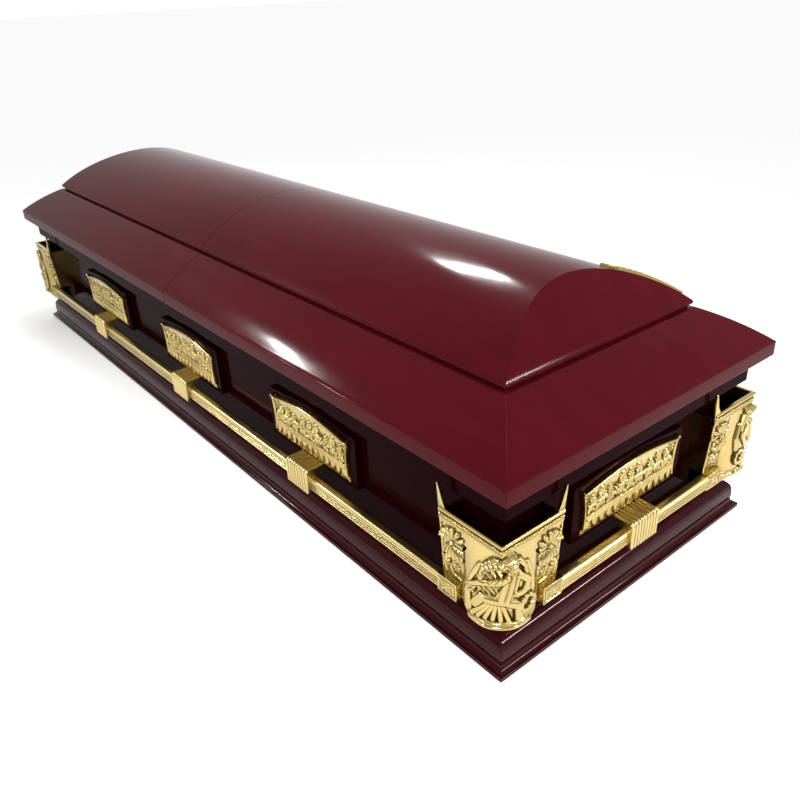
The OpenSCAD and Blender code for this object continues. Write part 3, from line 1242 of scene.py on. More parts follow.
@dataclass(frozen=True)
class Mourner:
    """A generic robed figure in the frieze.

    Args:
        x: Its middle.
        foot: Height of its waist, behind the ledge.
        size: Its size.
        lean: How far its head leans to one side.
        reach: Where its hands go: -1 left, 0 folded, 1 right, 2 both out.
    """

    x: float
    foot: float
    size: float
    lean: float
    reach: int

    def raise_on(self, sheet: Relief) -> None:
        """Models the figure on a sheet.

        Args:
            sheet: The sheet.
        """
        x, z, s, n = self.x, self.foot, self.size, self.lean
        head_x, head_z = x + 2.6 * n, z + 25.5 * s
        sheet.oval(x, z + 6 * s, 8.6 * s, 17 * s, 3.0, -6 * n)
        sheet.limb([(x - 5.6 * s + n, z + 16.5 * s), (x + 5.6 * s + n, z + 16.5 * s)],
                   (3.6 * s, 3.6 * s), 0.95, 0.4)
        sheet.folds(x, z + 7 * s, 9 * s, 16 * s, 8 * n, 3.7 * s, 0.55, 0.35)
        for side in (-1, 1):
            out = self.reach in (side, 2)
            elbow = (x + side * 8.2 * s, z + (11.5 if out else 8) * s)
            hand = (x + side * (11.5 if out else 2.5) * s, z + (17.0 if out else 4.5) * s)
            shoulder = (x + side * 6.2 * s + n, z + 16 * s)
            sheet.limb([shoulder, elbow, hand], (3.1 * s, 1.7 * s), 1.0, 1.6)
            sheet.oval(hand[0], hand[1] + 0.6, 1.9, 2.1, 2.2, 0, 2.0)
        sheet.limb([(x + n, z + 18 * s), (head_x, head_z - 3 * s)], (2.2 * s, 2.0 * s), 1.0, 1.2)
        sheet.oval(head_x, head_z + 0.9 * s, 4.4 * s, 5.2 * s, 3.2, -10 * n)
        sheet.oval(head_x + 0.5 * n, head_z - 0.4 * s, 3.0 * s, 3.9 * s, 4.9, -8 * n)
        for side in (-1, 1):
            sheet.limb([(head_x + side * 3.6 * s, head_z - 3 * s),
                        (head_x + side * 4.2 * s, head_z - 8 * s)], (1.7 * s, 1.2 * s), 1.0, 1.0)


# ---------------------------------------------------------------- lug plates

@dataclass
class LugPlate:
    """Gilt plate: rolled arched rim, a row of robed figures, a ledge and a hem of scallops.

    Args:
        name: The plate's node.
        place: Where it goes.
        finish: The gilt.
        beads: The tree that sets rows of beads.
        block_depth: Thickness of the block behind it.
        depth: Thickness of the plate.
        columns: Steps along it.
        rows: Steps up it.
    """

    name: str
    place: Placement
    finish: bpy.types.Material
    beads: Growth
    block_depth: float = 14.0
    depth: float = 8.0
    columns: int = 240
    rows: int = 92

    def _measure(self) -> None:
        """Reads the plate's length and heights from its node."""
        low, high = solid_box(self.name)
        self.half = half_length(low, high)
        self.low = low.z
        self.tall = high.z - low.z - 9.0
        self.ledge = self.low + 0.34 * self.tall

    def _top(self, x: Points) -> Points:
        """Gives the outline's top at each distance from the middle, above the plate's foot."""
        share = np.clip(np.abs(x) / (self.half - 14), 0, 1)
        arch = self.tall - 4.5 + 13.5 * np.cos(share * math.pi / 2)
        return arch + 4.5 * np.clip((np.abs(x) - self.half + 8) / 8, 0, 1)

    def _width(self, share: Points) -> Points:
        """Gives half the plate's length at each share of its height."""
        share = np.clip(share, 0, 1)
        return self.half - 5 - 5 * np.sin(math.pi * share) + 5 * share * share

    def _figures(self, sheet: Relief) -> None:
        """Models the row of figures, the ledge and what hangs from it."""
        low, half = self.low, self.half
        count = 9
        for k in range(count):
            t = 2 * k / (count - 1) - 1
            size = 1.36 + 0.16 * math.cos(1.4 * t) + 0.10 * math.sin(2.9 * k)
            rise = 28 + 3.0 * math.cos(t * 1.5) + 2.6 * math.sin(1.7 * k + 0.6)
            Mourner(t * (half - 29) + 1.6 * math.sin(2.3 * k), low + rise, size,
                    math.sin(2.1 * k + 1.1), (0, 1, -1, 2, 0, 1, -1, 2, 0)[k]).raise_on(sheet)
        ledge = self.ledge
        inner = half - 13
        band = np.clip((sheet.z - ledge + 3) / 9.5, 0, 1)
        on_band = (np.abs(sheet.x) < inner) & (sheet.z > ledge - 3) & (sheet.z < ledge + 6.5)
        sway = 0.35 * np.sin(sheet.x * 0.21) + 0.25 * np.sin(sheet.x * 0.47 + 1)
        sheet.high = np.where(on_band, 6.6 - 2.4 * band + sway * 0.5, sheet.high)
        pitch = (2 * half - 38) / 12
        for k in range(13):
            x = (k - 6) * pitch
            sheet.oval(x, ledge - 12, 5.6, 17, 4.6)
            sheet.limb([(x + pitch / 2 - 1.6, ledge - 4), (x + pitch / 2, ledge - 15),
                        (x + pitch / 2 + 1.2, ledge - 25)], (2.4, 1.2), 0.9, 0.2)
        sheet.folds(0, ledge - 14, half, 22, 0, 3.3, 0.32)
        for side in (-1, 1):
            foot = side * (half - 15)
            sheet.limb([(foot, low + 30), (foot - side * 4, low + 20), (foot + side * 2, low + 9),
                        (foot + side * 7, low + 12)], (3.2, 1.8), 1.1, 0.4)
            sheet.oval(foot + side * 6, low + 9, 4.2, 4.2, 4.4)
            for k in range(4):
                sheet.limb([(side * (half - 22), low + 58 + 5 * k),
                            (side * (half - 13), low + 66 + 6 * k)], (1.2, 2.4), 1.0, 0.2)

    def build(self) -> None:
        """Makes the plate."""
        self._measure()
        t = np.linspace(-1, 1, self.columns + 1)
        t = t * (1.08 - 0.08 * t * t)
        s = np.linspace(0, 1, self.rows + 1)
        t, s = np.meshgrid(t, s)
        up = s * self._top(t * (self.half - 3))
        across = t * self._width(up / self.tall)
        sheet = Relief(across, self.low + up)
        self._figures(sheet)
        from_top = (1 - s) * self._top(across)
        from_side = (1 - np.abs(t)) * self._width(up / self.tall)
        roll = half_round(from_top - 3.2, 3.2) * 6.2
        rim = half_round(from_side - 2.0, 2.0) * 4.6
        fade = np.clip(np.minimum(from_top - 4, from_side - 3) / 3, 0, 1)
        sheet.high = np.maximum(sheet.high * fade, np.maximum(roll, rim * (s > 0.12)))
        field = self.block_depth + self.depth - 6.2
        front = field - 0.9 + sheet.high * 1.28
        points = np.stack([across, front, sheet.z], -1)
        blank = Blank()
        # The low field among the figures is darkened as painted shade, added to the painted shade of the hollows.
        zone = (np.clip((sheet.z - self.ledge - 4) / 5, 0, 1)
                * np.clip((self.ledge + 42 - sheet.z) / 14, 0, 1))
        painted_field_shade = 0.62 * zone * np.clip(1.4 - sheet.high / 2.0, 0, 1)
        deep = np.maximum(sheet.hollows(4, 1.2), painted_field_shade)
        blank.grid(points, (0, -900, 200), deep)
        edge = np.concatenate([points[0], points[1:, -1], points[-1, -2::-1], points[-2:0:-1, 0]])
        back = edge.copy()
        back[:, 1] = self.block_depth
        inside = np.array([0, self.block_depth + 1, self.low + self.tall / 2])
        blank.grid(np.stack([back, edge]), inside, wrap=True)
        blank.face(back, (0, 900, 200))
        row = [(side * (self.half - 20), field + 5.3, self.ledge + 8.0) for side in (-1, 1)]
        blank.absorb(self.beads.run(row, Pitch=3.4, Bead=(1.5, 1.2, 1.1), Seed=3,
                                    Finish=self.finish))
        hang(blank.build(self.name + "_relief", self.place, self.finish, 50), "gilt", self.name)


# ---------------------------------------------------------------- bars and arms

@dataclass
class Bars:
    """Reeded carrying bars and the ribbed arms that hold them.

    Args:
        carcass: The casket's sizes.
        finish: The gilt.
        out: Distance of a bar's middle from the body.
        level: Height of a bar's middle.
        depth: Depth of a bar.
        tall: Height of a bar.
        arm_width: Width of an arm.
        plate_low: Height of the lug plates' lower edge.
        block_depth: Thickness of the lug blocks.
    """

    carcass: Carcass
    finish: bpy.types.Material
    out: float = 39.0
    level: float = 118.0
    depth: float = 20.0
    tall: float = 26.0
    arm_width: float = 72.0
    plate_low: float = 152.0
    block_depth: float = 14.0

    def __post_init__(self) -> None:
        """Makes the two trees that draw bars and lay ribs."""
        self.sweep, self.ribs = bar_sweep(), rib_row()

    def _section(self) -> list[Pair]:
        """Gives a bar's section: a broad rounded top band over reeds and flutes.

        Returns:
            Distances out from the bar's middle, and heights.
        """
        d, h = self.depth / 2, self.tall / 2
        outer = arc(d - 6.4, h - 6.4, 6.4, 100, 8, 12)
        for middle in (4.4, -0.8, -6.0):
            outer += [(d - 0.1, middle + 2.1)] + arc(d + 0.5, middle, 2.1, 106, 254, 8) + [
                (d - 0.1, middle - 2.1)]
        outer += arc(d - 4, -h + 4, 4, -4, -90, 8)
        return outer + arc(-d + 6, -h + 6, 6, -90, -180, 6) + arc(-d + 7, h - 7, 7, 180, 90, 8)

    def _in_flute(self, points: Points) -> Points:
        """Says how deep in a flute each point of a bar lies, for the gilt's painted shade in the flutes."""
        sunk = self.out + self.depth / 2 - 0.25 - points[:, 1]
        face = (np.abs(points[:, 2] - self.level) < 9) & (sunk < 3)
        return np.where(face, np.clip(sunk / 1.2, 0, 1), 0.0)

    def bar(self, side: Side) -> None:
        """Makes one bar.

        Args:
            side: The side that it runs along.
        """
        low, high = (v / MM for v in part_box(f"bar_{side.value}"))
        half = max(high.x - low.x, high.y - low.y) / 2
        host = [(-y, -z, 0.0) for y, z in self._section()]
        blank = Blank()
        blank.absorb(self.sweep.run(host, True, Start=(-half, 0.0, 0.0), End=(half, 0.0, 0.0),
                                    Finish=self.finish), (0, self.out, self.level), self._in_flute)
        hang(blank.build(f"bar_{side.value}_reeded", Placement.on_side(self.carcass, side), self.finish, 32),
             "gilt", f"bar_{side.value}")

    def arm(self, name: str, place: Placement) -> None:
        """Makes one arm: out from under the plate, over the bar and down in front of it.

        Args:
            name: The arm's node.
            place: Where it goes.
        """
        face = self.out + self.depth / 2 + 8
        front = self.out + self.depth / 2
        low = self.level - self.tall / 2
        top = self.plate_low - 1.0
        skin = 2.7
        path = ([(self.block_depth + 1, top - skin), (face - 12, top - skin - 0.4)]
                + arc(face - skin - 6, top - skin - 6.4, 6, 88, 2, 8)
                + [(face - skin, low + 8), (face - skin, low - 3)] + arc(face - skin - 2, low - 4, 2, 0, -80, 3))
        under = [(front + 1, low - 5.6), (front, low), (front, self.level + 6), (front - 3, self.level + 12.4),
                 (self.out, self.level + 13.1), (self.out - self.depth / 2 + 2, self.level + 12.0),
                 (self.out - self.depth / 2 - 1, self.level + 13), (self.block_depth + 1, top - 9)]
        outline = np.array(path + under)
        half = self.arm_width / 2
        blank = Blank()
        spans = [(-half, 0.8), (-half + 0.8, 0.0), (half - 0.8, 0.0), (half, 0.8)]
        blank.sweep(np.array([[(x, y, z) for y, z in drawn_in(outline, shrink)]
                              for x, shrink in spans]))
        count = 9
        step = (self.arm_width - 7) / (count - 1)
        blank.absorb(self.ribs.run([(-(count - 1) / 2 * step, y, z) for y, z in path], Count=count,
                                   Step=(step, 0.0, 0.0), Radius=2.7, Finish=self.finish))
        hang(blank.build(name + "_ribbed", place, self.finish, 40), "gilt", name)


# ---------------------------------------------------------------- corner castings

@dataclass
class CornerCasting:
    """Gilt corner: two winged faces, a rounded corner with a mourning figure, a beaded rim and cuffs.

    Args:
        name: The casting's node.
        place: Where it goes.
        finish: The gilt.
        beads: The tree that sets rows of beads.
        wing: Length of each wing.
        top: Height of the upper rim.
        out_top: How far the wings stand off at the rim.
        out_low: How far they stand off lower down.
        shell: Thickness of the walls.
        radius: Radius of the rounded corner.
        middle: The rounded corner's axis, along both faces.
        turn: Height where the corner turns under.
        base_top: Height of the moulding that it stands on.
        cuff_low: Height of the cuffs' underside.
        cuff_high: Height of the cuffs' top.
        cuff_out: How far the cuffs stand off.
        cuff_long: Length of a cuff.
    """

    name: str
    place: Placement
    finish: bpy.types.Material
    beads: Growth
    wing: float = 90.0
    top: float = 260.0
    out_top: float = 41.0
    out_low: float = 34.0
    shell: float = 5.0
    radius: float = 54.0
    middle: float = -2.0
    turn: float = 117.0
    base_top: float = 70.0
    cuff_low: float = 101.0
    cuff_high: float = 134.0
    cuff_out: float = 49.0
    cuff_long: float = 44.0
    limit: float = 56.6

    def _face_out(self, z: Points) -> Points:
        """Gives how far a wing's face stands off the body at a height."""
        share = np.clip((z - self.cuff_high) / (self.top - 20 - self.cuff_high), 0, 1)
        return self.out_low + (self.out_top - self.out_low) * share

    def _both(self, blank: Blank, part: Blank) -> None:
        """Adds a part made for the first wing to both wings.

        Args:
            blank: The casting.
            part: The part.
        """
        points, deep = np.concatenate(part.points), np.concatenate(part.hollows)
        for swap in (False, True):
            placed = points[:, [1, 0, 2]] if swap else points
            start = blank.keep(placed, deep)
            blank.faces.extend([start + v for v in (face[::-1] if swap else face)] for face in part.faces)

    def _leaves(self, sheet: Relief) -> None:
        """Models a wing's fan of leaves, shell, boss and drape."""
        x, z = -61.0, 206.0
        for k in range(7):
            turn = math.radians(90 + (k - 3) * 27)
            tip = (x + 25 * math.cos(turn), z + 23 * math.sin(turn))
            sheet.limb([(x + 4 * math.cos(turn), z + 4 * math.sin(turn)), tip], (2.4, 4.9), 1.25, 0.8)
        sheet.oval(x + 3, z - 18, 23, 15, 9.4, 8, blend=1.0)
        sheet.folds(x + 3, z - 17, 23, 15, 0, 7.4, 1.7, -0.5)
        for k in range(5):
            turn = math.radians(-150 + 30 * k)
            sheet.oval(x + 3 + 19 * math.cos(turn), z - 17 + 12 * math.sin(turn), 5.4, 4.6, 8.2)
        sheet.oval(x, z, 5.0, 5.0, 9.6)
        sheet.oval(-76, 166, 8.2, 8.2, 8.0)
        sheet.oval(-76, 166, 4.6, 4.6, 10.4)
        for k in range(6):
            turn = math.radians(60 * k + 10)
            sheet.oval(-56 + 5 * math.cos(turn), 158 + 5 * math.sin(turn), 3.0, 2.6, 3.6, 60 * k)
        sheet.oval(-56, 158, 2.6, 2.6, 4.6)
        sheet.limb([(-87, 172), (-84, 148), (-80, 137)], (1.3, 1.6), 1.2, 0.6)
        sheet.limb([(-72, 150), (-66, 140), (-50, 137)], (1.6, 2.6), 1.0, 0.3)

    def _figure(self, sheet: Relief) -> None:
        """Models the seated, draped mourner with a wreath, over a smooth mound."""
        sheet.oval(0, 180, 46, 52, 2.6, 6, blend=1.5)
        sheet.oval(-16, 188, 30, 27, 5.6, 20, blend=2.0)
        sheet.oval(-16, 148, 32, 20, 5.2, 0, blend=2.0)
        sheet.oval(40, 180, 17, 30, 4.2, 0, blend=2.0)
        sheet.folds(-14, 186, 32, 30, 28, 8.5, 1.3, 0.4)
        sheet.limb([(-38, 206), (-50, 180), (-57, 150), (-53, 124)], (5.0, 7.5), 1.0, 0.5, 0.6)
        sheet.limb([(48, 210), (56, 184), (54, 162)], (4.5, 5.5), 1.0, 0.5, 0.6)
        for k in range(6):
            t = k / 5
            sheet.limb([(-12 + 8 * t, 160), (-24 + 28 * t, 142), (-44 + 56 * t, 117 + 3 * math.sin(math.pi * t))],
                       (3.0, 4.4), 1.25, 1.5, 0.3)
        sheet.limb([(19, 204), (13, 184), (4, 160)], (11, 13), 0.72, 3.0, 1.0)
        sheet.limb([(4, 158), (-26, 158), (-40, 138)], (9.5, 6.5), 1.0, 2.5, 0.8)
        sheet.limb([(10, 154), (27, 144), (27, 120)], (9, 6.5), 1.0, 2.0, 0.8)
        sheet.folds(12, 186, 24, 32, -14, 9.0, 1.5)
        sheet.oval(-2, 104, 56, 13, 9.5, 0, blend=1.5)
        sheet.limb([(26, 202), (42, 186), (32, 168), (8, 170)], (6.2, 3.6), 1.0, 6.5)
        sheet.limb([(8, 200), (-12, 190), (-32, 182), (-49, 170)], (6.0, 3.2), 1.0, 6.5)
        sheet.oval(5, 170, 5.0, 4.0, 10.5)
        for k in range(11):
            turn = 2 * math.pi * k / 11
            sheet.oval(42 + 13 * math.cos(turn), 142 + 13 * math.sin(turn), 5.4, 3.6, 11.5,
                       math.degrees(turn) + 62)
        for k in range(7):
            turn = math.radians(51.4 * k + 20)
            sheet.oval(-50 + 7 * math.cos(turn), 164 + 7 * math.sin(turn), 5.0, 3.4, 8.4, 51.4 * k)
        sheet.oval(-50, 164, 3.4, 3.4, 10.0)
        sheet.limb([(16, 228), (-8, 224), (-25, 210), (-31, 190)], (9.5, 5.5), 0.9, 3.5, 0.8)
        sheet.folds(-10, 212, 30, 20, 42, 8.0, 1.6)
        sheet.limb([(30, 222), (40, 208), (40, 194)], (5.0, 3.4), 0.9, 3.5, 0.6)
        head = (18.0, 216.0)
        sheet.limb([(17, 200), head], (6.0, 5.4), 0.95, 4.5)
        sheet.oval(head[0], head[1] + 2, 11.5, 12.5, 10.0, 8)
        sheet.folds(head[0] - 2, head[1] + 7, 12, 9, 70, 4.0, 1.0)
        sheet.oval(head[0] + 1.2, head[1] - 2, 7.2, 9.0, 13.0, 8)
        sheet.limb([(head[0] + 1.2, head[1] + 1.4), (head[0] + 2.0, head[1] - 3.4)], (1.1, 1.7), 0.9, 12.6)
        sheet.oval(head[0] + 2.2, head[1] - 6.4, 2.4, 1.2, 13.2, 8)

    def _wing(self, blank: Blank) -> None:
        """Adds both wings: faces in relief, linings, end walls and undersides."""
        part = Blank()
        z = np.linspace(self.cuff_low, self.top - 20, 112)[:, None] * np.ones((1, 54))
        face = self._face_out(z)
        inner = self.middle - np.sqrt(self.radius ** 2 - (face - self.middle) ** 2)
        share = np.linspace(0, 1, 54)[None, :]
        x = -self.wing + (inner + 1.5 + self.wing) * share
        sheet = Relief(x, z)
        self._leaves(sheet)
        edge = np.clip(np.minimum(x + self.wing, self.top - 20 - z) / 2.5, 0, 1)
        sheet.high *= edge
        sheet.high += 1.6 * np.sqrt(np.clip(1 - ((x + self.wing - 2.0) / 2.0) ** 2, 0, 1))
        out = np.minimum(face + sheet.high * 0.9, self.limit)
        # The relief's hollows are painted darker as shade by the gilt.
        part.grid(np.stack([x, out, z], -1), (-45, -900, 180), sheet.hollows(4, 1.3))
        levels = np.array([self.cuff_low, self.cuff_high, self.top - 20])
        lining = np.array([[(px, self._face_out(h) - self.shell, h) for px in (
            -self.wing + self.shell, -38.0)] for h in levels])
        part.grid(lining, (-45, 900, 180))
        wall = [(0, self.cuff_low), (self.out_low, self.cuff_low), (self.out_low, self.cuff_high),
                (self.out_top, self.top - 20), (self.out_top, self.top - 9), (0, self.top - 9)]
        part.sweep(np.array([[(px, y, h) for y, h in wall] for px in (
            -self.wing, -self.wing + self.shell)]))
        sill = [(0, self.cuff_low), (self.out_low - 0.3, self.cuff_low),
                (self.out_low - 0.3, self.cuff_low + self.shell), (0, self.cuff_low + self.shell)]
        part.sweep(np.array([[(px, y, h) for y, h in sill] for px in (-self.wing + 1, -30.0)]))
        self._cuff(part)
        ear = np.array([(-self.wing, self.top - 12), (-self.wing + 17, self.top - 4),
                        (-self.wing + 13, self.top + 2), (-self.wing + 9, self.top + 9),
                        (-self.wing + 6, self.top + 16), (-self.wing + 3, self.top + 24),
                        (-self.wing, self.top + 33), (-self.wing - 3, self.top + 42),
                        (-self.wing - 5, self.top + 40), (-self.wing - 4, self.top + 28),
                        (-self.wing - 3, self.top + 15)])
        part.slab(ear, self.out_top - 4, self.out_top + 1, 1.0)
        part.absorb(self.beads.run([(-self.wing + 3.6, self.out_top - 7.6, 150),
                                    (-self.wing + 3.6, self.out_top + 0.3, 228)],
                                   Pitch=4.6, Bead=(2.1, 1.9, 2.3), Seed=5, Finish=self.finish))
        self._both(blank, part)

    def _cuff(self, part: Blank) -> None:
        """Adds the cuff that holds a bar's end, with a square rosette on its front."""
        x0, x1, z0, z1 = -self.wing, -self.wing + self.cuff_long, self.cuff_low, self.cuff_high
        box = np.array([(x0, z0), (x1, z0), (x1, z1), (x0, z1)])
        part.slab(box, 8, self.cuff_out - 0.6, 1.4)
        steps_x, steps_z = np.linspace(x0 + 3, x1 - 3, 44), np.linspace(z0 + 3, z1 - 3, 34)
        x, z = np.meshgrid(steps_x, steps_z)
        mx, mz = (x0 + x1) / 2, (z0 + z1) / 2
        sheet = Relief(x, z)
        near = np.minimum(np.minimum(x - steps_x[0], steps_x[-1] - x), np.minimum(z - steps_z[0], steps_z[-1] - z))
        sheet.high = 1.7 * np.sqrt(np.clip(1 - ((near - 1.5) / 1.5) ** 2, 0, 1))
        for k in range(4):
            turn = math.radians(45 + 90 * k)
            sheet.limb([(mx, mz), (mx + 14.5 * math.cos(turn), mz + 10 * math.sin(turn))], (1.6, 3.4), 0.55)
            turn = math.radians(90 * k)
            sheet.limb([(mx, mz), (mx + 11 * math.cos(turn), mz + 7.5 * math.sin(turn))], (1.4, 2.2), 0.6)
        sheet.oval(mx, mz, 3.4, 3.0, 2.6)
        # The rosette's hollows are painted darker as shade by the gilt.
        part.grid(np.stack([x, self.cuff_out - 0.7 + sheet.high, z], -1), (mx, -900, mz), sheet.hollows(2, 0.6))

    def _dome(self, blank: Blank) -> None:
        """Adds the rounded corner with its figure, and its lining."""
        columns, m = 180, self.middle
        for low, high, rows in ((self.base_top, self.cuff_low, 34), (self.cuff_low, self.top - 20, 138)):
            z = np.linspace(low, high, rows)[:, None] * np.ones((1, columns))
            under = np.clip(self.turn - z, 0, None)
            radius = np.sqrt(self.radius ** 2 - under ** 2)
            stop = self._face_out(z) - m if low == self.cuff_low else np.full_like(z, -m)
            half = 135 - np.degrees(np.arcsin(np.clip(stop / radius, -1, 1)))
            turn = 45 + half * np.linspace(-1, 1, columns)[None, :]
            sheet = Relief(np.radians(45 - turn) * self.radius, z)
            self._figure(sheet)
            sheet.high *= np.clip((self.top - 23 - z) / 6, 0, 1) * np.clip((z - 94) / 10, 0, 1)
            sheet.high *= np.clip((half - np.abs(turn - 45)) / 4, 0, 1)
            for level, width, proud in ((113.5, 2.3, 1.7), (105.5, 3.0, 2.4), (98.0, 1.8, 0.9)):
                sheet.high += proud * np.sqrt(np.clip(1 - ((z - level) / width) ** 2, 0, 1))
            reach = self._squared(radius, z, np.radians(turn), 0.0) + sheet.high * 0.92
            x = m + reach * np.cos(np.radians(turn))
            y = m + reach * np.sin(np.radians(turn))
            points = np.stack([np.minimum(x, self.limit), np.minimum(y, self.limit), z], -1)
            # The figure's hollows are painted darker as shade by the gilt.
            blank.grid(points, (m, m, 150), sheet.hollows(6, 1.5))
        turns = np.radians(np.linspace(-50, 140, 60))
        inner = []
        for z in (self.base_top + 3, 80, 90, 100, self.turn, 140, 160, 180, 200, 215, 228, self.top - 20):
            under = max(0.0, self.turn - z)
            r = math.sqrt((self.radius - self.shell) ** 2 - under ** 2) if under < 48 else 18
            reach = self._squared(np.full(60, r), np.full(60, float(z)), turns, self.shell)
            inner.append(np.stack([m + reach * np.cos(turns), m + reach * np.sin(turns), np.full(60, z)], -1))
        blank.grid(np.array(inner), (700, 700, 150))

    def _squared(self, radius: Points, z: Points, turn: Points, inset: float) -> Points:
        """Blends the rounded corner into the rim's square one, from the middle up.

        Args:
            radius: The rounded corner's reach.
            z: Each point's height.
            turn: Each point's direction, in radians.
            inset: How far the surface lies inside the outer one.

        Returns:
            Each point's reach from the rounded corner's axis.
        """
        rise = np.clip((z - 138) / (self.top - 22 - 138), 0, 1) ** 1.5
        square = (self.out_top - inset - self.middle) / np.maximum(np.cos(turn), np.sin(turn))
        return radius * (1 - rise) + square * rise

    def _rim(self, blank: Blank) -> None:
        """Adds the rolled double rim with its row of beads."""
        top, out = self.top, self.out_top
        outline = ([(out - 5, top - 22), (out + 0.3, top - 22), (out + 1.3, top - 20.5), (out + 1.5, top - 18.5),
                    (out + 0.4, top - 17.2), (out - 0.2, top - 16.2), (out - 0.2, top - 9.6),
                    (out + 0.5, top - 8.6)] + arc(out - 0.6, top - 4.0, 3.6, -60, 90, 9)
                   + [(out - 3.5, top - 0.6), (out - 5, top - 2)])
        rings = np.array([[(-self.wing if first else d, -self.wing if last else d, z)
                           for d, z in outline] for first, last in ((1, 0), (0, 0), (0, 1))])
        blank.sweep(rings)
        d = out + 0.8
        blank.absorb(self.beads.run([(-self.wing + 2, d, top - 13), (d, d, top - 13),
                                     (d, -self.wing + 2, top - 13)], Pitch=5.0, Bead=(2.5, 2.5, 3.3),
                                    Seed=7, Finish=self.finish))

    def build(self) -> None:
        """Makes the casting."""
        blank = Blank()
        self._wing(blank)
        self._dome(blank)
        self._rim(blank)
        hang(blank.build(self.name + "_relief", self.place, self.finish, 48), "gilt", self.name)


# ---------------------------------------------------------------- crown trim

@dataclass
class CrownTrim:
    """Embossed gilt strip along the crown's head end, on its far slope.

    Args:
        joinery: The joinery that it lies on.
        finish: The gilt.
        beads: The tree that sets rows of beads.
        thick: How far it stands proud.
    """

    joinery: Joinery
    finish: bpy.types.Material
    beads: Growth
    thick: float = 5.2

    def build(self) -> None:
        """Makes the strip."""
        low, high = (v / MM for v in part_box("crown_trim"))
        radius, centre, _ = self.joinery.barrel()
        first, last = math.asin(low.y / radius), math.asin(min(1.0, high.y / (radius + self.thick)))
        turns = np.linspace(first, last, 90)
        width, wall = 38.0, self.thick
        rings = []
        middle_line = []
        for k, turn in enumerate(turns):
            emboss = 0.9 * abs(math.sin(k * 0.9)) if turn < last - 0.06 else 0.0
            ring = []
            for back, proud in ((6, 0.0), (6, wall - 1.4), (7.4, wall - 0.2), (9.4, wall - 0.2), (10.8, wall - 1.6),
                                (14, wall - 1.6 + emboss), (25, wall - 1.6 + emboss), (33, wall - 1.6),
                                (34.6, wall - 0.2), (width + 5, wall - 0.6), (width + 6, 0.0)):
                r = radius + proud
                z = centre + r * math.cos(turn)
                x = self.joinery.crown_reach(centre + radius * math.cos(turn)) - back
                ring.append((x, r * math.sin(turn), z))
            rings.append(ring)
            if turn < last - 0.05:
                middle_line.append((ring[6][0] + 5.5, (radius + wall - 1.2) * math.sin(turn),
                                    centre + (radius + wall - 1.2) * math.cos(turn)))
        blank = Blank()
        blank.sweep(np.array(rings))
        blank.absorb(self.beads.run(middle_line, Pitch=11.0, Bead=(6.5, 4.4, 1.9), Seed=11, Finish=self.finish))
        hang(blank.build("crown_trim_embossed", HOME, self.finish, 40), "gilt", "crown_trim")


# ---------------------------------------------------------------- studio

@dataclass(frozen=True)
class Softbox:
    """One soft studio light.

    Args:
        name: Its name.
        place: Where it stands, in metres.
        aim: The point it faces, in metres.
        size: Its width and height, in metres.
        power: Its power, in watts.
        spread: How widely it throws its light, in degrees.
    """

    name: str
    place: Triple
    aim: Triple
    size: Pair
    power: float
    spread: float = 180.0

    def light(self) -> None:
        """Sets the light up."""
        lamp = bpy.data.lights.new(self.name, "AREA")
        lamp.shape = "RECTANGLE"
        lamp.size, lamp.size_y = self.size
        lamp.energy = self.power
        lamp.spread = math.radians(self.spread)
        holder = bpy.data.objects.new(self.name, lamp)
        holder.location = self.place
        holder.rotation_euler = (Vector(self.aim) - Vector(self.place)).to_track_quat("-Z", "Y").to_euler()
        bpy.context.scene.collection.objects.link(holder)


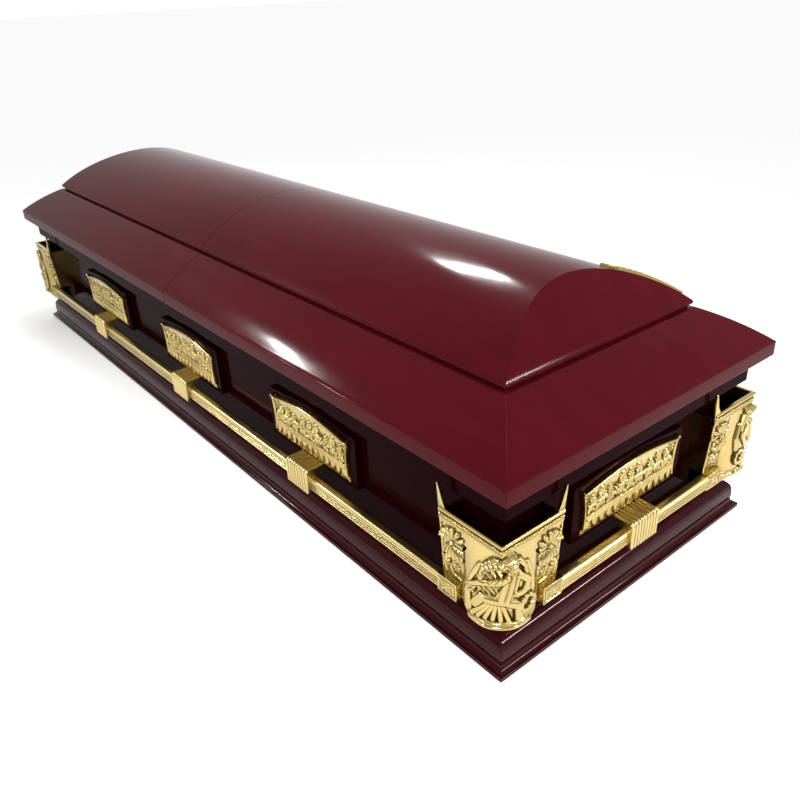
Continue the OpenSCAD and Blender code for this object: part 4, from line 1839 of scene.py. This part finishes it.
@dataclass
class Studio:
    """Pale floor, soft lights and the camera.

    Args:
        camera_place: Where the camera stands, in metres.
        right: The direction to the right of its view.
        up: The direction upwards in its view.
        back: The direction behind it.
        lens: Its focal length in millimetres.
        floor_reach: Half the floor's width, in metres.
        sky: Brightness of the surroundings on their bright side.
        dim: Share of that brightness on their dim side.
        bright_side: Direction of the bright side.
    """

    camera_place: Triple = (1.63402, -0.96091, 0.95074)
    right: Triple = (0.63384604, 0.77237488, -0.0409419)
    up: Triple = (-0.34228591, 0.32757644, 0.8806441)
    back: Triple = (0.69359898, -0.54417894, 0.47200607)
    lens: float = 34.856
    floor_reach: float = 60.0
    sky: float = 1.05
    dim: float = 0.12
    bright_side: Triple = (-0.12, 0.72, 0.68)

    def floor(self) -> None:
        """Lays the floor."""
        blank = Blank()
        reach = self.floor_reach / MM
        steps = np.linspace(-1, 1, 9)
        points = np.array([[(reach * x, reach * y, 0) for x in steps] for y in steps])
        blank.grid(points, (0, 0, -1))
        floor = blank.build("studio_floor", HOME, Paper().make())

    def camera(self) -> None:
        """Sets the camera up."""
        lens = bpy.data.cameras.new("camera")
        lens.lens, lens.sensor_width = self.lens, 36.0
        lens.clip_end = 200.0
        holder = bpy.data.objects.new("camera", lens)
        turn = Matrix((self.right, self.up, self.back)).transposed().to_4x4()
        holder.matrix_world = Matrix.Translation(Vector(self.camera_place)) @ turn
        bpy.context.scene.collection.objects.link(holder)
        bpy.context.scene.camera = holder

    def lights(self) -> None:
        """Sets the lights and the surroundings up."""
        for box in (
            Softbox("top_box", (0.35, 0.75, 3.2), (0.1, 0.12, 0.3), (2.4, 1.3), 15, spread=75),
            Softbox("key_box", (3.9, 0.25, 1.75), (0.95, 0.02, 0.28), (0.7, 0.5), 5, spread=70),
            Softbox("crown_box", (-1.30, 1.32, 2.22), (0.75, -0.08, 0.52), (0.40, 0.050), 6.4, spread=60),
            Softbox("rim_box", (-1.95, -1.22, 2.02), (0.52, -0.33, 0.37), (0.26, 0.050), 4.4, spread=60),
            Softbox("edge_box", (3.6, 1.95, 1.75), (1.0, -0.1, 0.1), (1.1, 0.13), 18, spread=70),
            Softbox("near_spark", (2.7, -2.6, 2.5), (0.85, -0.3, 0.2), (0.32, 0.32), 6.5, spread=50),
            Softbox("side_spark", (0.2, -3.6, 1.6), (0.4, -0.33, 0.2), (0.8, 0.16), 5.0, spread=60),
        ):
            box.light()
        world = bpy.data.worlds.new("surroundings")
        world.use_nodes = True
        nodes, links = world.node_tree.nodes, world.node_tree.links
        back = nodes["Background"]
        back.inputs[1].default_value = self.sky
        facing = nodes.new("ShaderNodeTexCoord")
        toward = nodes.new("ShaderNodeVectorMath")
        toward.operation = "DOT_PRODUCT"
        toward.inputs[1].default_value = self.bright_side
        ramp = nodes.new("ShaderNodeMapRange")
        ramp.interpolation_type = "SMOOTHSTEP"
        for place, value in ((1, -0.95), (2, 0.05), (3, self.dim), (4, 1.0)):
            ramp.inputs[place].default_value = value
        links.new(facing.outputs["Generated"], toward.inputs[0])
        links.new(toward.outputs["Value"], ramp.inputs[0])
        links.new(ramp.outputs[0], back.inputs[0])
        scene = bpy.context.scene
        scene.world = world
        scene.view_settings.view_transform = "Standard"

    def build(self) -> None:
        """Sets the whole studio up."""
        self.floor()
        self.camera()
        self.lights()


def main() -> None:
    """Builds the casket, class by class."""
    logging.basicConfig(level=logging.INFO, format="%(message)s")
    carcass = Carcass.measured()
    lacquer, gilt, board = Lacquer().make(), Gilt().make(), Board().make()
    # The lid's lacquer darkened as painted shade for the walls, rail and lug blocks, with weaker reflections.
    shade_painted_lacquer = Lacquer("painted_shade_lacquer", (0.0030, 0.0002, 0.0004, 1), (0.0095, 0.0005, 0.0010, 1), 0.10, 1.045).make()
    Studio().build()
    # The lid's lacquer darkened as painted shade, less than the walls', for the base moulding.
    deep = Lacquer("painted_shade_base_lacquer", (0.010, 0.0005, 0.0010, 1), (0.024, 0.0011, 0.0023, 1), 0.10, 1.16).make()
    joinery = Joinery(carcass, lacquer, shade_painted_lacquer, deep, board)
    joinery.build()
    beads = bead_row()
    # Rougher satin gilt for the bars and arms, made paler than the other gilt as painted light.
    bars = Bars(carcass, Gilt("satin_gilt_lightened", (0.52, 0.410, 0.180, 1), polish=0.29).make())
    for side, places in SIDE_PLACES.items():
        bars.bar(side)
        for suffix, shift in places:
            place = Placement.on_side(carcass, side, shift)
            joinery.block(f"block_{side.value}{suffix}", place)
            LugPlate(f"plate_{side.value}{suffix}", place, gilt, beads).build()
            bars.arm(f"arm_{side.value}{suffix}", place)
    for half, x in (("head", 1), ("foot", -1)):
        for face, y in (("front", -1), ("back", 1)):
            CornerCasting(f"corner_{half}_{face}", Placement.at_corner(carcass, x, y), gilt, beads).build()
    CrownTrim(joinery, gilt, beads).build()


if __name__ == "__main__":
    main()
